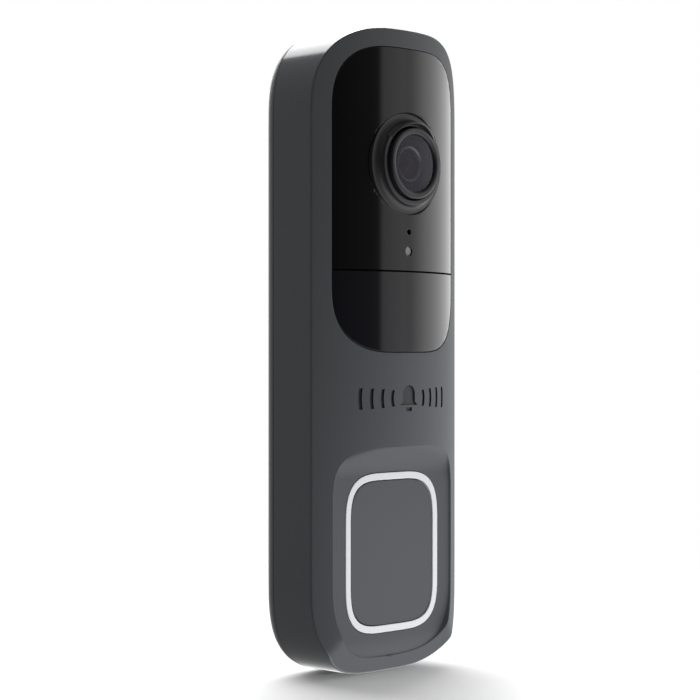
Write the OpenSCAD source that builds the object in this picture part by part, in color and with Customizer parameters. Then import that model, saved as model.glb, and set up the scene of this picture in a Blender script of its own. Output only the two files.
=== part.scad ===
// Video doorbell: a slim bowed housing on a wall plate, with a camera and motion sensor behind a
// dark window, and a bell button in a lit ring. Front is -Y, up is +Z, and the wall is the plane y = 0.

/* [Body] */
// Width of the housing
body_w = 46; // [42:1:56]
// Height of the housing
body_h = 140; // [132:1:170]
// Depth of the side wall, from the back of the housing to its front edge
side_d = 14.8; // [13.5:0.1:18]
// How far the rounded corners reach along each side
corner_r = 20.5; // [15:0.5:21]
// Squareness of the corners: 2 is a circle, and more is squarer
corner_power = 2.85; // [2:0.05:4]
// Wall of the housing
wall = 2.4; // [2:0.1:3]
// Radius of the bowed front, seen from above
front_r = 41.3; // [34:0.1:60]
// Radius of the chin, seen from the side
chin_r = 60; // [50:1:90]
// Height over which the chin falls back, at the bottom
chin_h = 30.3; // [24:0.1:34]
// Depth of the rear housing's rounded rim
rear_d = 3.2; // [2.8:0.1:4]

/* [Wall plate] */
// Width of the wall plate
plate_w = 35; // [33:0.5:37]
// Height of the wall plate
plate_h = 122; // [110:1:124]
// Thickness of the wall plate
plate_t = 3; // [2.6:0.1:3.6]
// How far the plate stands proud of the back of the housing
plate_proud = 1.2; // [0.8:0.1:2]
// Distance between the two wall screws
screw_pitch = 96; // [80:1:104]
// Radius of the wall screw holes
wall_hole_r = 2.2; // [1.8:0.1:2.6]
// How far the housing lifts to come off its hooks
lift_travel = 6; // [5:0.5:7]

/* [Window] */
// Rim of the housing that shows round the window and the dish
rim = 3.95; // [3.5:0.05:5]
// Height of the seam between the camera window and the motion window
split_z = 17.6; // [14:0.1:19]
// Thickness of the windows
window_t = 1.3; // [1:0.1:1.4]
// Gap round a window or between two windows
seam_gap = 0.15; // [0.1:0.05:0.3]

/* [Camera] */
// Height of the lens above the middle of the housing
lens_z = 41; // [38:0.5:44]
// Radius of the bezel where it leaves the window
bezel_r = 11; // [10.4:0.1:12]
// How far the bezel's lip stands in front of the window
lip_d = 1.2; // [0.8:0.1:2]
// How far the hood over the lens stands in front of the lip
hood_d = 1.4; // [0.8:0.1:2]
// Outer radius of the lens ring
lens_ring_r = 7.7; // [7:0.1:8]
// Radius of the lens cover
cover_r = 6.3; // [5.6:0.1:6.6]

/* [Button] */
// Width of the lit ring
ring_w = 29.3; // [26:0.1:31]
// Height of the lit ring
ring_h = 34.8; // [30:0.1:36]
// Width of the lit ring's band
ring_band = 1.55; // [1.2:0.05:2]
// Distance from the middle of the housing down to the middle of the button
button_drop = 43.6; // [42:0.1:50]
// Depth of the dish's floor behind the front of the bow
dish_d = 5; // [4:0.1:5.4]
// Travel of the button
button_travel = 0.5; // [0.3:0.05:0.6]

/* [Inside] */
// Width of the main board
board_w = 30; // [26:0.5:30]
// Thickness of the main board
board_t = 1.2; // [1:0.1:1.6]
// Width of the battery pack
battery_w = 27; // [22:0.5:28]
// Height of the battery pack
battery_h = 50; // [40:1:52]
// Width of the sound slot in the bottom
slot_w = 26; // [18:0.5:28]
// Depth of the sound slot, front to back
slot_d = 4.4; // [3:0.1:4.6]

/* [Hidden] */
$fn = 64;

// Points along each rounded corner of an outline
corner_steps = 15;
// Reach of any cutting block beyond the part
far = 60;
// Running clearance between pieces that move, and seating clearance between pieces that don't
run = 0.2;
seat = 0.1;

// Planes from the wall to the front, all along Y
back_y = -plate_proud;
seam_y = back_y - rear_d;
edge_y = back_y - side_d;
bow_rise = front_r - sqrt(front_r * front_r - body_w * body_w / 4);
front_y = edge_y - bow_rise;
bow_axis_y = front_y + front_r;
plate_front_y = -plate_t;
pocket_y = plate_front_y - run;
rear_wall = 1.6;
rear_inner_y = pocket_y - rear_wall;

// The chin starts slightly in front of the bow, so that the two surfaces cross cleanly
chin_proud = 0.3;
chin_z = -body_h / 2 + chin_h;
chin_axis_y = front_y - chin_proud + chin_r;
function chin_y(z) = chin_axis_y - sqrt(chin_r * chin_r - pow(chin_z - z, 2));
function bow_y(x, inset) = bow_axis_y - sqrt(pow(front_r - inset, 2) - x * x);

// Windows
window_w = body_w - 2 * rim;
window_top = body_h / 2 - rim;
window_bottom = 0;
window_h = window_top - window_bottom;
window_mid = (window_top + window_bottom) / 2;
window_r = corner_r - 5.2;
seal_t = 0.2;
ledge = 1.9;
mic_z = lens_z - bezel_r - 3.8;
light_z = mic_z - 4.2;
mic_hole_r = 0.6;
light_hole_r = 1;

// Dish round the button
dish_rim = 3.9;
dish_w = body_w - 2 * (dish_rim + 0.3);
dish_top = -20.4;
dish_bottom = -body_h / 2 + dish_rim - 0.4;
dish_h = dish_top - dish_bottom;
dish_mid = (dish_top + dish_bottom) / 2;
dish_r_top = 12.7;
dish_r_bottom = 19;
dish_power = 3.2;
dish_y = front_y + dish_d;
dish_ramp = 6.5;
dish_toe = 4.6;
dish_back_y = dish_y + wall;
button_z = -button_drop;

// Lit ring and button cap
ring_r = 11.8;
ring_power = 3.16;
ring_gap = 0.1;
ring_proud = 0.15;
ring_back_y = dish_back_y + 0.3;
ring_flange = 0.7;
ring_flange_t = 0.8;
cap_gap = 0.15;
cap_w = ring_w - 2 * (ring_band + cap_gap);
cap_h = ring_h - 2 * (ring_band + cap_gap);
cap_r = ring_r - ring_band - cap_gap;
cap_t = 1.8;
cap_flange = 0.6;
cap_flange_t = 0.7;
cap_flange_y = ring_back_y + run;

// Boards, from the front of the main board backwards
board_front_y = dish_back_y + 3.2;
board_back_y = board_front_y + board_t;
board_top = body_h / 2 - 12.5;
board_bottom = -body_h / 2 + 14;
led_board_t = 1;
led_board_y = cap_flange_y + cap_flange_t + button_travel + run;
led_t = 0.6;
post_r = 1.6;
stem_y = board_front_y - 2.9;
stem_r = 1.5;

// Screws and bosses
screw_r = 1;
screw_head_r = 1.9;
screw_head_t = 1.2;
boss_r = 2.4;
pilot_r = screw_r + 0.05;
rear_boss_t = 1.6;
boss_back_y = rear_inner_y - rear_boss_t;
boss_x = body_w / 2 - wall - boss_r - 2.2;
boss_z = body_h / 2 - wall - 7.1;
boss_places = [for (side = [-1, 1]) for (z = [boss_z, -boss_z]) [side * boss_x, z]];
standoff_r = 2;
standoff_x = board_w / 2 - 2.6;
standoff_places = [
    for (side = [-1, 1]) for (z = [board_top - 4.5, 5, board_bottom + 2.5]) [side * standoff_x, z]
];
board_screw_head_r = 1.6;
board_screw_head_t = 0.9;

// Hooks of the wall plate and their pockets in the rear housing
hook_w = 2.2;
hook_x = plate_w / 2 - 1.4;
hook_stem_h = 2.6;
hook_toe = 3;
hook_t = 1.2;
hook_places = [for (side = [-1, 1]) for (z = [34, -30]) [side * hook_x, z]];
hook_slot_w = hook_w + 0.5;
hook_front_y = rear_inner_y - run - hook_t;
hook_box_wall = 0.8;

// Wires, terminals and small controls at the back
wire_z = 24;
wire_w = 26;
wire_h = 20;
block_w = 20;
block_h = 9;
control_z = 9.5;
control_x = 8.5;
tamper_r = 1.5;
tamper_travel = 1.5;
tamper_collar_r = 2.3;
tamper_collar_t = 0.9;
tamper_collar_y = rear_inner_y - seat - tamper_travel;
pairing_r = 1.6;
pairing_travel = 0.4;
switch_t = 1.5;

// Camera, from the lip backwards
lip_y = front_y - lip_d;
lip_in_r = lens_ring_r + 0.3;
lip_out_r = lip_in_r + 1.1;
hood_r = lip_out_r + 0.3;
hood_in_r = lip_in_r + 0.5;
ring_front_y = lip_y - 1;
camera_board_t = 1;
camera_board_w = 19;
camera_board_y = board_front_y - 2;
holder_w = 15;
holder_t = 4.2;
holder_y = camera_board_y - holder_t;
barrel_r = 5.6;
filter_w = 6.4;
filter_t = 0.5;
filter_travel = 6.6;
filter_y = holder_y + 1.6;
aperture_r = 2.6;
cover_t = 1;
cover_back_y = ring_front_y + 0.3 + cover_t;
barrel_y = cover_back_y + seat;
inner_ring_r = 3.6;

// Speaker and its port above the sound slot
speaker_d = slot_d + 0.6;
slot_y = rear_inner_y - seat - speaker_d / 2;
port_z = -body_h / 2 + wall + 2.2;
port_w = slot_w + 4;
mesh_t = 0.2;
speaker_gasket_t = 0.8;
speaker_w = slot_w - 1;
speaker_h = 5.4;
speaker_z = port_z + mesh_t + speaker_gasket_t;

// Battery
battery_t = 5.2;
battery_top = -1.2;
battery_pad_t = 0.5;
battery_y = rear_inner_y - battery_pad_t;
battery_z = battery_top - battery_h / 2;

// A rounded rectangle with superellipse corners, as points round the outline
function outline(w, h, r, r_top, r_bottom, power) = [
    for (q = [0:3]) for (i = [0:corner_steps])
        let (
            a = 90 * (q % 2 == 0 ? i : corner_steps - i) / corner_steps,
            r_z = q < 2 ? r_top : r_bottom,
            x = w / 2 - r + r * pow(cos(a), 2 / power),
            z = h / 2 - r_z + r_z * pow(sin(a), 2 / power)
        )
        [(q == 0 || q == 3 ? 1 : -1) * x, (q < 2 ? 1 : -1) * z]
];

// The space between two planes of constant y, inside an outline centred at height z
module slab(w, h, r, y_front, y_rear, z = 0, power = corner_power) {
    r_fit = min(r, w / 2 - 0.05, h / 2 - 0.05);
    translate([0, y_rear, z]) rotate([90, 0, 0]) linear_extrude(y_rear - y_front)
        polygon(outline(w, h, r_fit, r_fit, r_fit, power));
}

// The housing's own outline, moved in by an inset
module body_slab(inset, y_front, y_rear) {
    slab(body_w - 2 * inset, body_h - 2 * inset, corner_r - inset, y_front, y_rear);
}

// A block given by its size along x, y and z, and its centre
module block(size, at) {
    translate(at) cube(size, center = true);
}

// A cylinder along Y between two planes
module rod(r, y_front, y_rear, x = 0, z = 0) {
    translate([x, y_rear, z]) rotate([90, 0, 0]) cylinder(h = y_rear - y_front, r = r);
}

// A turned piece about the lens axis, from points of radius and y
module turned(points) {
    translate([0, 0, lens_z]) rotate([90, 0, 0]) rotate_extrude()
        polygon([for (p = points) [p[0], -p[1]]]);
}

// Points of radius and y along a dome, from its middle out to its rim
function dome(rim_r, dome_r, front, steps = 6) = [
    for (i = [0:steps]) let (x = rim_r * i / steps) [x, front + dome_r - sqrt(dome_r * dome_r - x * x)]
];

// Everything behind the bowed front, moved in by an inset
module behind_bow(inset) {
    translate([0, bow_axis_y, 0]) cylinder(h = body_h + far, r = front_r - inset, center = true, $fn = 128);
}

// Everything behind the chin, moved in by an inset
module behind_chin(inset) {
    translate([-far / 2, -far, chin_z]) cube([far, far, body_h]);
    translate([0, chin_axis_y, chin_z]) rotate([0, 90, 0])
        cylinder(h = far, r = chin_r - inset, center = true, $fn = 128);
}

// The solid that the front housing is cut from
module front_form(inset, y_rear) {
    intersection() {
        body_slab(inset, front_y - 1, y_rear);
        behind_bow(inset);
        behind_chin(inset);
    }
}

// The part of a block that lies between two offsets of the bow
module bow_skin(outer, inner) {
    difference() {
        intersection() {
            children();
            behind_bow(outer);
        }
        behind_bow(inner);
    }
}

// Outline of the whole window opening, moved in by an inset
module window_slab(inset) {
    slab(window_w - 2 * inset, window_h - 2 * inset, window_r - inset, -far, edge_y + 1, window_mid);
}

// Outline of the dish, moved out by a margin
module dish_slab(margin, y_front, y_rear) {
    w = dish_w + 2 * margin;
    translate([0, y_rear, dish_mid]) rotate([90, 0, 0]) linear_extrude(y_rear - y_front)
        polygon(outline(w, dish_h + 2 * margin, w / 2 - 0.05, dish_r_top + margin, dish_r_bottom + margin,
            dish_power));
}

// The space of the dish: its outline seen from the front, cut to its floor seen from the side
module dish_space() {
    steps = 8;
    toe_y = chin_y(dish_bottom) + 0.15;
    floor_line = concat(
        [for (i = [0:steps]) let (s = i / steps)
            [dish_y - dish_d * pow(1 - s, 2), dish_top - dish_ramp * s]],
        [for (i = [0:steps]) let (s = i / steps)
            [dish_y + (toe_y - dish_y) * s * s, dish_bottom + dish_toe * (1 - s)]]
    );
    intersection() {
        dish_slab(0, -far, 0);
        rotate([90, 0, 90]) linear_extrude(body_w, center = true)
            polygon(concat([[-far, dish_top], [front_y, dish_top]], floor_line,
                [[toe_y, dish_bottom - 1], [-far, dish_bottom - 1]]));
    }
}

// A plain bell with sound waves on each side, sunk into the bow
mark_z = -9.9;
mark_h = 5.6;
mark_depth = 0.35;
mark_waves = [5, 7.7, 10.4, 13.1];
module bell_mark() {
    dome_r = 1.9;
    stroke = 0.8;
    difference() {
        translate([0, 0, mark_z]) rotate([90, 0, 0]) linear_extrude(far) {
            translate([0, mark_h / 2 - dome_r]) circle(dome_r);
            polygon([[-dome_r, mark_h / 2 - dome_r], [dome_r, mark_h / 2 - dome_r], [dome_r, -0.6],
                [dome_r + 0.9, -1.5], [-dome_r - 0.9, -1.5], [-dome_r, -0.6]]);
            translate([-0.9, -mark_h / 2]) square([1.8, 0.8]);
            for (r = mark_waves) {
                intersection() {
                    difference() {
                        circle(r + stroke / 2);
                        circle(r - stroke / 2);
                    }
                    square([2 * r + 2, mark_h * r / (r + 3)], center = true);
                }
            }
        }
        behind_bow(mark_depth);
    }
}

module mounting_plate() {
    window_lip = 0.3;
    color("dimgray") difference() {
        union() {
            slab(plate_w, plate_h, corner_r - 5, plate_front_y, 0);
            for (at = hook_places) {
                block([hook_w, -hook_front_y, hook_stem_h],
                    [at[0], hook_front_y / 2, at[1]]);
                block([hook_w, hook_t, hook_stem_h + hook_toe],
                    [at[0], hook_front_y + hook_t / 2, at[1] + hook_toe / 2]);
            }
        }
        // wire opening, with a wider step at the front
        slab(wire_w, wire_h, 3, -far, 1, wire_z);
        slab(wire_w + 2 * window_lip, wire_h + 2 * window_lip, 3, -far, plate_front_y + 0.6, wire_z);
        // wall screws, countersunk from the front
        for (z = [-screw_pitch / 2, screw_pitch / 2]) {
            rod(wall_hole_r, -far, 1, 0, z);
            translate([0, plate_front_y - 0.01, z]) rotate([-90, 0, 0])
                cylinder(h = 1.3, r1 = wall_hole_r + 1.9, r2 = wall_hole_r + 0.1);
        }
        // the tamper plunger reaches the wall through this slot, and rises in it with the housing
        rod(tamper_r + 0.7, -far, 1, 0, control_z);
        block([2 * tamper_r + 1.4, far, lift_travel + 1], [0, 0, control_z + (lift_travel + 1) / 2]);
        // relief grooves in the wall side, so that the plate sits flat on a rough wall
        for (z = [-62, -16, 40]) {
            if (abs(z) < plate_h / 2 - 4) block([plate_w - 9, 1.2, 3], [0, 0, z]);
        }
    }
}

// The rear housing's rim, rounded towards the wall by thin steps of an offset outline
module rounded_rim() {
    steps = 5;
    round_r = rear_d - 0.2;
    function inset_at(i) = round_r * (1 - cos(90 * i / steps));
    function y_at(i) = back_y - round_r + round_r * sin(90 * i / steps);
    body_slab(0, seam_y, back_y - round_r + 0.01);
    for (i = [0:steps - 1]) {
        hull() {
            body_slab(inset_at(i), y_at(i), y_at(i) + 0.01);
            body_slab(inset_at(i + 1), y_at(i + 1) - 0.01, y_at(i + 1));
        }
    }
}

module rear_housing() {
    tongue_t = 1.2;
    tongue_y = seam_y - 1.8;
    tongue_in = wall + 0.12;
    hook_cell_h = hook_stem_h + lift_travel + 2 * run;
    color("dimgray") difference() {
        union() {
            rounded_rim();
            // tongue that enters the front housing
            difference() {
                body_slab(tongue_in, tongue_y, seam_y + 0.5);
                body_slab(tongue_in + tongue_t, tongue_y - 1, seam_y + 1);
            }
            body_slab(tongue_in, rear_inner_y, seam_y + 0.1);
            for (at = boss_places) rod(boss_r, boss_back_y, pocket_y, at[0], at[1]);
            for (at = standoff_places) rod(standoff_r, board_back_y, pocket_y, at[0], at[1]);
            for (at = hook_places) {
                block([hook_slot_w + 2 * hook_box_wall, hook_t + 2 * run + hook_box_wall + 0.5,
                    hook_cell_h + hook_toe + 2 * hook_box_wall],
                    [at[0], rear_inner_y - hook_t / 2 - run - hook_box_wall / 2 + 0.25,
                    at[1] + hook_toe / 2 - lift_travel / 2]);
            }
            rod(tamper_collar_r + 1, tamper_collar_y - tamper_collar_t - 0.4, rear_inner_y, 0, control_z);
        }
        // inside of the tongue above the rear wall
        difference() {
            body_slab(tongue_in + tongue_t, seam_y - 3, rear_inner_y);
            for (at = boss_places) rod(boss_r, -far, 0, at[0], at[1]);
            for (at = standoff_places) rod(standoff_r, -far, 0, at[0], at[1]);
            for (at = hook_places) block([hook_slot_w + 2 * hook_box_wall, far, hook_cell_h + hook_toe
                + 2 * hook_box_wall], [at[0], -far / 2, at[1] + hook_toe / 2 - lift_travel / 2]);
            rod(tamper_collar_r + 1, -far, 0, 0, control_z);
        }
        // pocket for the wall plate, with room for the lift
        for (drop = [0, lift_travel]) {
            slab(plate_w + 2 * run, plate_h + 2 * run, corner_r - 5 + run, pocket_y, 1, -drop);
        }
        // hook cells: a slot through the wall, and room for the toe behind it
        for (at = hook_places) {
            block([hook_slot_w, 2 * rear_wall + 2, hook_cell_h],
                [at[0], rear_inner_y + 1, at[1] - lift_travel / 2]);
            block([hook_slot_w, hook_t + 2 * run, hook_cell_h + hook_toe],
                [at[0], rear_inner_y - hook_t / 2 - run, at[1] + hook_toe / 2 - lift_travel / 2]);
        }
        // housing screws
        for (at = boss_places) {
            rod(screw_r + 0.2, -far, 0, at[0], at[1]);
            rod(screw_head_r + 0.25, pocket_y - screw_head_t - 0.1, 1, at[0], at[1]);
        }
        for (at = standoff_places) rod(pilot_r, board_back_y - 1, rear_inner_y - 0.8, at[0], at[1]);
        // terminal block, tamper plunger and pairing button
        block([block_w + 2 * seat, far, block_h + 2 * seat], [0, 0, wire_z]);
        rod(tamper_r + 0.05, -far, 1, 0, control_z);
        rod(tamper_collar_r + run, -far, rear_inner_y, 0, control_z);
        rod(pairing_r + 0.06, -far, 1, control_x, control_z);
        // groove for the perimeter gasket
        gasket_ring(seam_y - 0.1, seam_y + gasket_t);
        // the speaker's port passes the tongue
        block([port_w + 2 * run, 4, 2 * (speaker_z + run + body_h / 2)], [0, seam_y - 2, -body_h / 2]);
    }
}

gasket_t = 0.8;
gasket_w = 1;
module gasket_ring(y_front, y_rear) {
    difference() {
        body_slab(0.8, y_front, y_rear);
        body_slab(0.8 + gasket_w, y_front - 1, y_rear + 1);
    }
}

module perimeter_gasket() {
    color("black") gasket_ring(seam_y, seam_y + gasket_t);
}

module front_housing() {
    color("dimgray") difference() {
        union() {
            difference() {
                front_form(0, seam_y);
                front_form(wall, seam_y + 1);
            }
            // tub behind the dish
            intersection() {
                front_form(0, dish_back_y);
                dish_slab(wall, -far, dish_back_y);
            }
            // screw bosses and the speaker's port
            intersection() {
                front_form(0.5, seam_y);
                union() {
                    for (at = boss_places) rod(boss_r, -far, boss_back_y - seat, at[0], at[1]);
                    block([port_w, speaker_d + 2, 2 * (port_z + body_h / 2)], [0, slot_y, -body_h / 2]);
                }
            }
        }
        // seat and opening of the windows
        difference() {
            window_slab(0);
            behind_bow(window_t + seal_t);
        }
        window_slab(ledge);
        dish_space();
        // opening of the lit ring
        slab(ring_w + 2 * ring_gap, ring_h + 2 * ring_gap, ring_r + ring_gap, -far, ring_back_y + 1, button_z,
            ring_power);
        bell_mark();
        for (at = boss_places) rod(pilot_r, boss_back_y - 7, 0, at[0], at[1]);
        // sound slot
        translate([0, slot_y, -body_h / 2 - 5]) linear_extrude(port_z + body_h / 2 + 6) hull() {
            for (side = [-1, 1]) translate([side * (slot_w - slot_d) / 2, 0]) circle(slot_d / 2);
        }
    }
}

module housing_screws() {
    color("silver") for (at = boss_places) {
        difference() {
            rod(screw_head_r, pocket_y - screw_head_t, pocket_y - 0.05, at[0], at[1]);
            cross_recess(at[0], pocket_y - 0.05, at[1], 0.7);
        }
        rod(screw_r, boss_back_y - 6, pocket_y - screw_head_t, at[0], at[1]);
    }
}

// A cross recess in a screw head that faces the wall
module cross_recess(x, y, z, depth) {
    block([2, 2 * depth, 0.5], [x, y, z]);
    block([0.5, 2 * depth, 2], [x, y, z]);
}

module camera_window() {
    color("black") difference() {
        bow_skin(0.02, window_t) intersection() {
            window_slab(seam_gap);
            translate([-far / 2, -far, split_z + seam_gap / 2]) cube([far, far, body_h]);
        }
        rod(bezel_r + seat, -far, 0, 0, lens_z);
        rod(mic_hole_r, -far, 0, 0, mic_z);
        rod(light_hole_r, -far, 0, 0, light_z);
    }
}

module pir_window() {
    lens_w = 24;
    lens_h = 13;
    color([0.12, 0.12, 0.12]) difference() {
        bow_skin(0.02, window_t) intersection() {
            window_slab(seam_gap);
            translate([-far / 2, -far, split_z - seam_gap / 2 - body_h]) cube([far, far, body_h]);
        }
        // thin sensing area behind
        difference() {
            slab(lens_w, lens_h, 3, -far, 0, split_z / 2);
            behind_front_of_lens();
        }
    }
}

// Keeps the front of the motion window whole where its back is thinned
module behind_front_of_lens() {
    difference() {
        block([2 * far, 2 * far, body_h], [0, 0, 0]);
        behind_bow(window_t - 0.5);
    }
}

module window_seal() {
    color([0.2, 0.2, 0.2]) bow_skin(window_t + 0.02, window_t + seal_t - 0.02) difference() {
        window_slab(seam_gap);
        window_slab(ledge);
    }
}

module lens_bezel() {
    steps = 6;
    flange_r = bezel_r + 1.4;
    flange_t = 0.8;
    flange_y = bow_y(flange_r, window_t) + 0.1;
    cone_y = front_y + 0.6;
    color([0.16, 0.16, 0.17]) {
        turned(concat(
            [[lip_in_r, flange_y + flange_t], [flange_r, flange_y + flange_t], [flange_r, flange_y],
                [bezel_r, flange_y]],
            [for (i = [0:steps]) let (s = i / steps)
                [bezel_r - (bezel_r - lip_out_r) * (1 - pow(1 - s, 2)), cone_y + (lip_y - cone_y) * s * s]],
            [[lip_in_r, lip_y]]
        ));
        hood();
    }
}

// The hood is an arc over the lens that is deepest at its middle
module hood() {
    hood_front_y = lip_y - hood_d;
    hood_half = 7;
    hood_bow_r = (hood_half * hood_half + hood_d * hood_d) / (2 * hood_d);
    intersection() {
        difference() {
            rod(hood_r, hood_front_y, lip_y + 0.5, 0, lens_z);
            rod(hood_in_r, hood_front_y - 1, lip_y + 1, 0, lens_z);
        }
        translate([0, hood_front_y + hood_bow_r, lens_z]) cylinder(h = 20, r = hood_bow_r);
    }
}

module lens_ring() {
    bevel = 0.25;
    back = holder_y - seat;
    color([0.2, 0.2, 0.21]) turned([
        [cover_r, cover_back_y], [cover_r, ring_front_y + bevel], [cover_r + bevel, ring_front_y],
        [lens_ring_r - bevel, ring_front_y], [lens_ring_r, ring_front_y + bevel],
        [lens_ring_r, back], [barrel_r + 0.05, back], [barrel_r + 0.05, cover_back_y]
    ]);
}

module lens_cover() {
    rim_r = cover_r - 0.03;
    color([0.3, 0.28, 0.35, 0.5]) turned(concat(dome(rim_r, 34, ring_front_y - 0.1),
        [[rim_r, cover_back_y], [0, cover_back_y]]));
}

module lens_barrel() {
    back = filter_y - 0.6;
    color([0.12, 0.12, 0.13]) turned([
        [inner_ring_r + 0.2, barrel_y + 0.7], [barrel_r, barrel_y], [barrel_r, back],
        [inner_ring_r - 1, back], [inner_ring_r - 1, barrel_y + 4], [inner_ring_r + 0.2, barrel_y + 4]
    ]);
}

module lens_inner_ring() {
    fit_r = inner_ring_r + 0.18;
    color("silver") turned([
        [inner_ring_r - 0.25, barrel_y + 0.7], [fit_r, barrel_y + 0.45],
        [fit_r, barrel_y + 1.6], [inner_ring_r - 0.25, barrel_y + 1.6]
    ]);
}

module front_lens() {
    rim_r = inner_ring_r - 0.3;
    front = barrel_y + 0.9;
    back = front + 2.4;
    color([0.35, 0.33, 0.45, 0.6]) turned(concat(dome(rim_r, 5, front), [[rim_r, back], [0, back]]));
}

module rear_lens() {
    front = barrel_y + 4.05;
    color([0.4, 0.4, 0.5, 0.6]) rod(inner_ring_r - 1.05, front, front + 1.2, 0, lens_z);
}

module camera_holder() {
    // the filter slides sideways in this cell
    cell_w = filter_w + filter_travel + 2 * run;
    color([0.15, 0.15, 0.16]) difference() {
        union() {
            block([holder_w, holder_t, holder_w], [0, holder_y + holder_t / 2, lens_z]);
            block([cell_w + 2, 2.4, filter_w + 3], [filter_travel / 2, filter_y + filter_t / 2, lens_z]);
        }
        rod(barrel_r + 0.05, holder_y - 1, filter_y - run, 0, lens_z);
        rod(aperture_r, holder_y - 1, camera_board_y + 1, 0, lens_z);
        block([cell_w, filter_t + 2 * run, filter_w + 2 * run],
            [filter_travel / 2, filter_y + filter_t / 2, lens_z]);
        block([9, 1.6, 9], [0, camera_board_y, lens_z]);
    }
}

module ir_cut_filter() {
    color([0.5, 0.75, 0.8, 0.6]) block([filter_w, filter_t, filter_w],
        [0, filter_y + filter_t / 2, lens_z]);
}

module image_sensor() {
    color("slategray") block([7, 0.7, 6], [0, camera_board_y - 0.35, lens_z]);
}

module camera_board() {
    color("darkgreen") difference() {
        block([camera_board_w, camera_board_t, camera_board_w],
            [0, camera_board_y + camera_board_t / 2, lens_z]);
        for (x = [-8, 8], z = [-8, 8]) rod(0.8, -far, 0, x, lens_z + z);
    }
}

module camera_flex() {
    flex_t = 0.2;
    color("goldenrod") block([6, flex_t, 5],
        [-5, camera_board_y + camera_board_t + flex_t / 2, lens_z - camera_board_w / 2 - 1]);
}

ir_z = lens_z + 14.4;
ir_y = front_y + 5.2;
ir_places = [-10.5, -3.5, 3.5, 10.5];
module ir_board() {
    color("darkgreen") block([25, 1, 6], [0, ir_y + 0.5, ir_z]);
}

module ir_leds() {
    color("lightsteelblue") for (x = ir_places) {
        block([3.2, 1, 3.2], [x, ir_y - 0.5, ir_z]);
        rod(1.2, ir_y - 1.6, ir_y - 1, x, ir_z);
    }
}

module ir_spacers() {
    color("ivory") for (side = [-1, 1]) rod(1.4, ir_y + 1, board_front_y, side * 7, ir_z);
}

module mic_boot() {
    front = bow_y(1.9, window_t) + 0.05;
    color([0.1, 0.1, 0.1]) difference() {
        rod(1.8, front, board_front_y - 1, 0, mic_z);
        rod(mic_hole_r, front - 1, board_front_y, 0, mic_z);
    }
}

module microphone() {
    color("silver") block([3.6, 1, 2.8], [0, board_front_y - 0.5, mic_z]);
}

module light_pipe() {
    color([0.7, 0.7, 0.75, 0.6]) {
        rod(light_hole_r - 0.06, front_y + 0.35, board_front_y - 0.9, 0, light_z);
        rod(light_hole_r + 0.6, bow_y(light_hole_r + 0.6, window_t) + 0.05, front_y + 3, 0, light_z);
    }
}

module light_sensor() {
    color([0.85, 0.85, 0.8]) block([2, 0.8, 2], [0, board_front_y - 0.4, light_z]);
}

pir_z = split_z / 2;
pir_can_r = 4.6;
pir_can_t = 4.2;
module pir_sensor() {
    color("silver") difference() {
        union() {
            rod(pir_can_r, board_front_y - pir_can_t, board_front_y, 0, pir_z);
            rod(pir_can_r + 0.5, board_front_y - 0.6, board_front_y, 0, pir_z);
        }
        block([4, 0.8, 3], [0, board_front_y - pir_can_t, pir_z]);
    }
}

module pir_shroud() {
    shroud_w = 20;
    shroud_h = 11.4;
    back = board_front_y - 3;
    front = bow_y(shroud_w / 2, window_t) + 0.15;
    color([0.1, 0.1, 0.1]) difference() {
        slab(shroud_w, shroud_h, 3, front, back, pir_z);
        slab(shroud_w - 2, shroud_h - 2, 2.2, front - 1, back - 0.8, pir_z);
        rod(pir_can_r + 0.1, -far, 0, 0, pir_z);
    }
}

module button_cap() {
    color([0.33, 0.34, 0.35]) difference() {
        union() {
            slab(cap_w, cap_h, cap_r, dish_y, cap_flange_y + cap_flange_t, button_z, ring_power);
            slab(cap_w + 2 * (cap_flange + cap_gap), cap_h + 2 * (cap_flange + cap_gap), cap_r + cap_flange,
                cap_flange_y, cap_flange_y + cap_flange_t, button_z, ring_power);
        }
        difference() {
            slab(cap_w - 3, cap_h - 3, cap_r - 1.5, dish_y + cap_t, 0, button_z, ring_power);
            rod(post_r, -far, stem_y, 0, button_z);
        }
    }
}

module light_ring() {
    color("white") difference() {
        union() {
            slab(ring_w, ring_h, ring_r, dish_y - ring_proud, ring_back_y, button_z, ring_power);
            slab(ring_w + 2 * ring_flange, ring_h + 2 * ring_flange, ring_r + ring_flange,
                dish_back_y + 0.05, dish_back_y + 0.05 + ring_flange_t, button_z, ring_power);
        }
        slab(ring_w - 2 * ring_band, ring_h - 2 * ring_band, ring_r - ring_band, -far, 0, button_z,
            ring_power);
        slab(cap_w + 2 * cap_flange + 1, cap_h + 2 * cap_flange + 1, cap_r + cap_flange + 0.2,
            ring_back_y, 0, button_z, ring_power);
    }
}

module led_board() {
    color("darkgreen") difference() {
        slab(ring_w + 1.6, ring_h + 1.6, ring_r, led_board_y, led_board_y + led_board_t, button_z);
        slab(ring_w - 9, ring_h - 12, 6, -far, 0, button_z);
        for (at = standoff_places) rod(board_screw_head_r + 0.3, -far, 0, at[0], at[1]);
    }
}

module ring_leds() {
    led = [1.6, led_t, 0.8];
    spacing = 5.5;
    color("lightyellow") for (side = [-1, 1], along = [-spacing, spacing]) {
        block(led, [along, led_board_y - led_t / 2, button_z + side * (ring_h / 2 - 0.15)]);
        block([led[2], led_t, led[0]],
            [side * (ring_w / 2 - 0.15), led_board_y - led_t / 2, button_z + along]);
    }
}

module button_switch() {
    color("black") difference() {
        block([6, 2.2, 6], [0, board_front_y - 1.1, button_z]);
        rod(stem_r + 0.08, -far, board_front_y - 2.2 + button_travel + 0.3, 0, button_z);
    }
}

module switch_stem() {
    color("ivory") rod(stem_r, stem_y, board_front_y - 2.2 + 0.1, 0, button_z);
}

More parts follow.
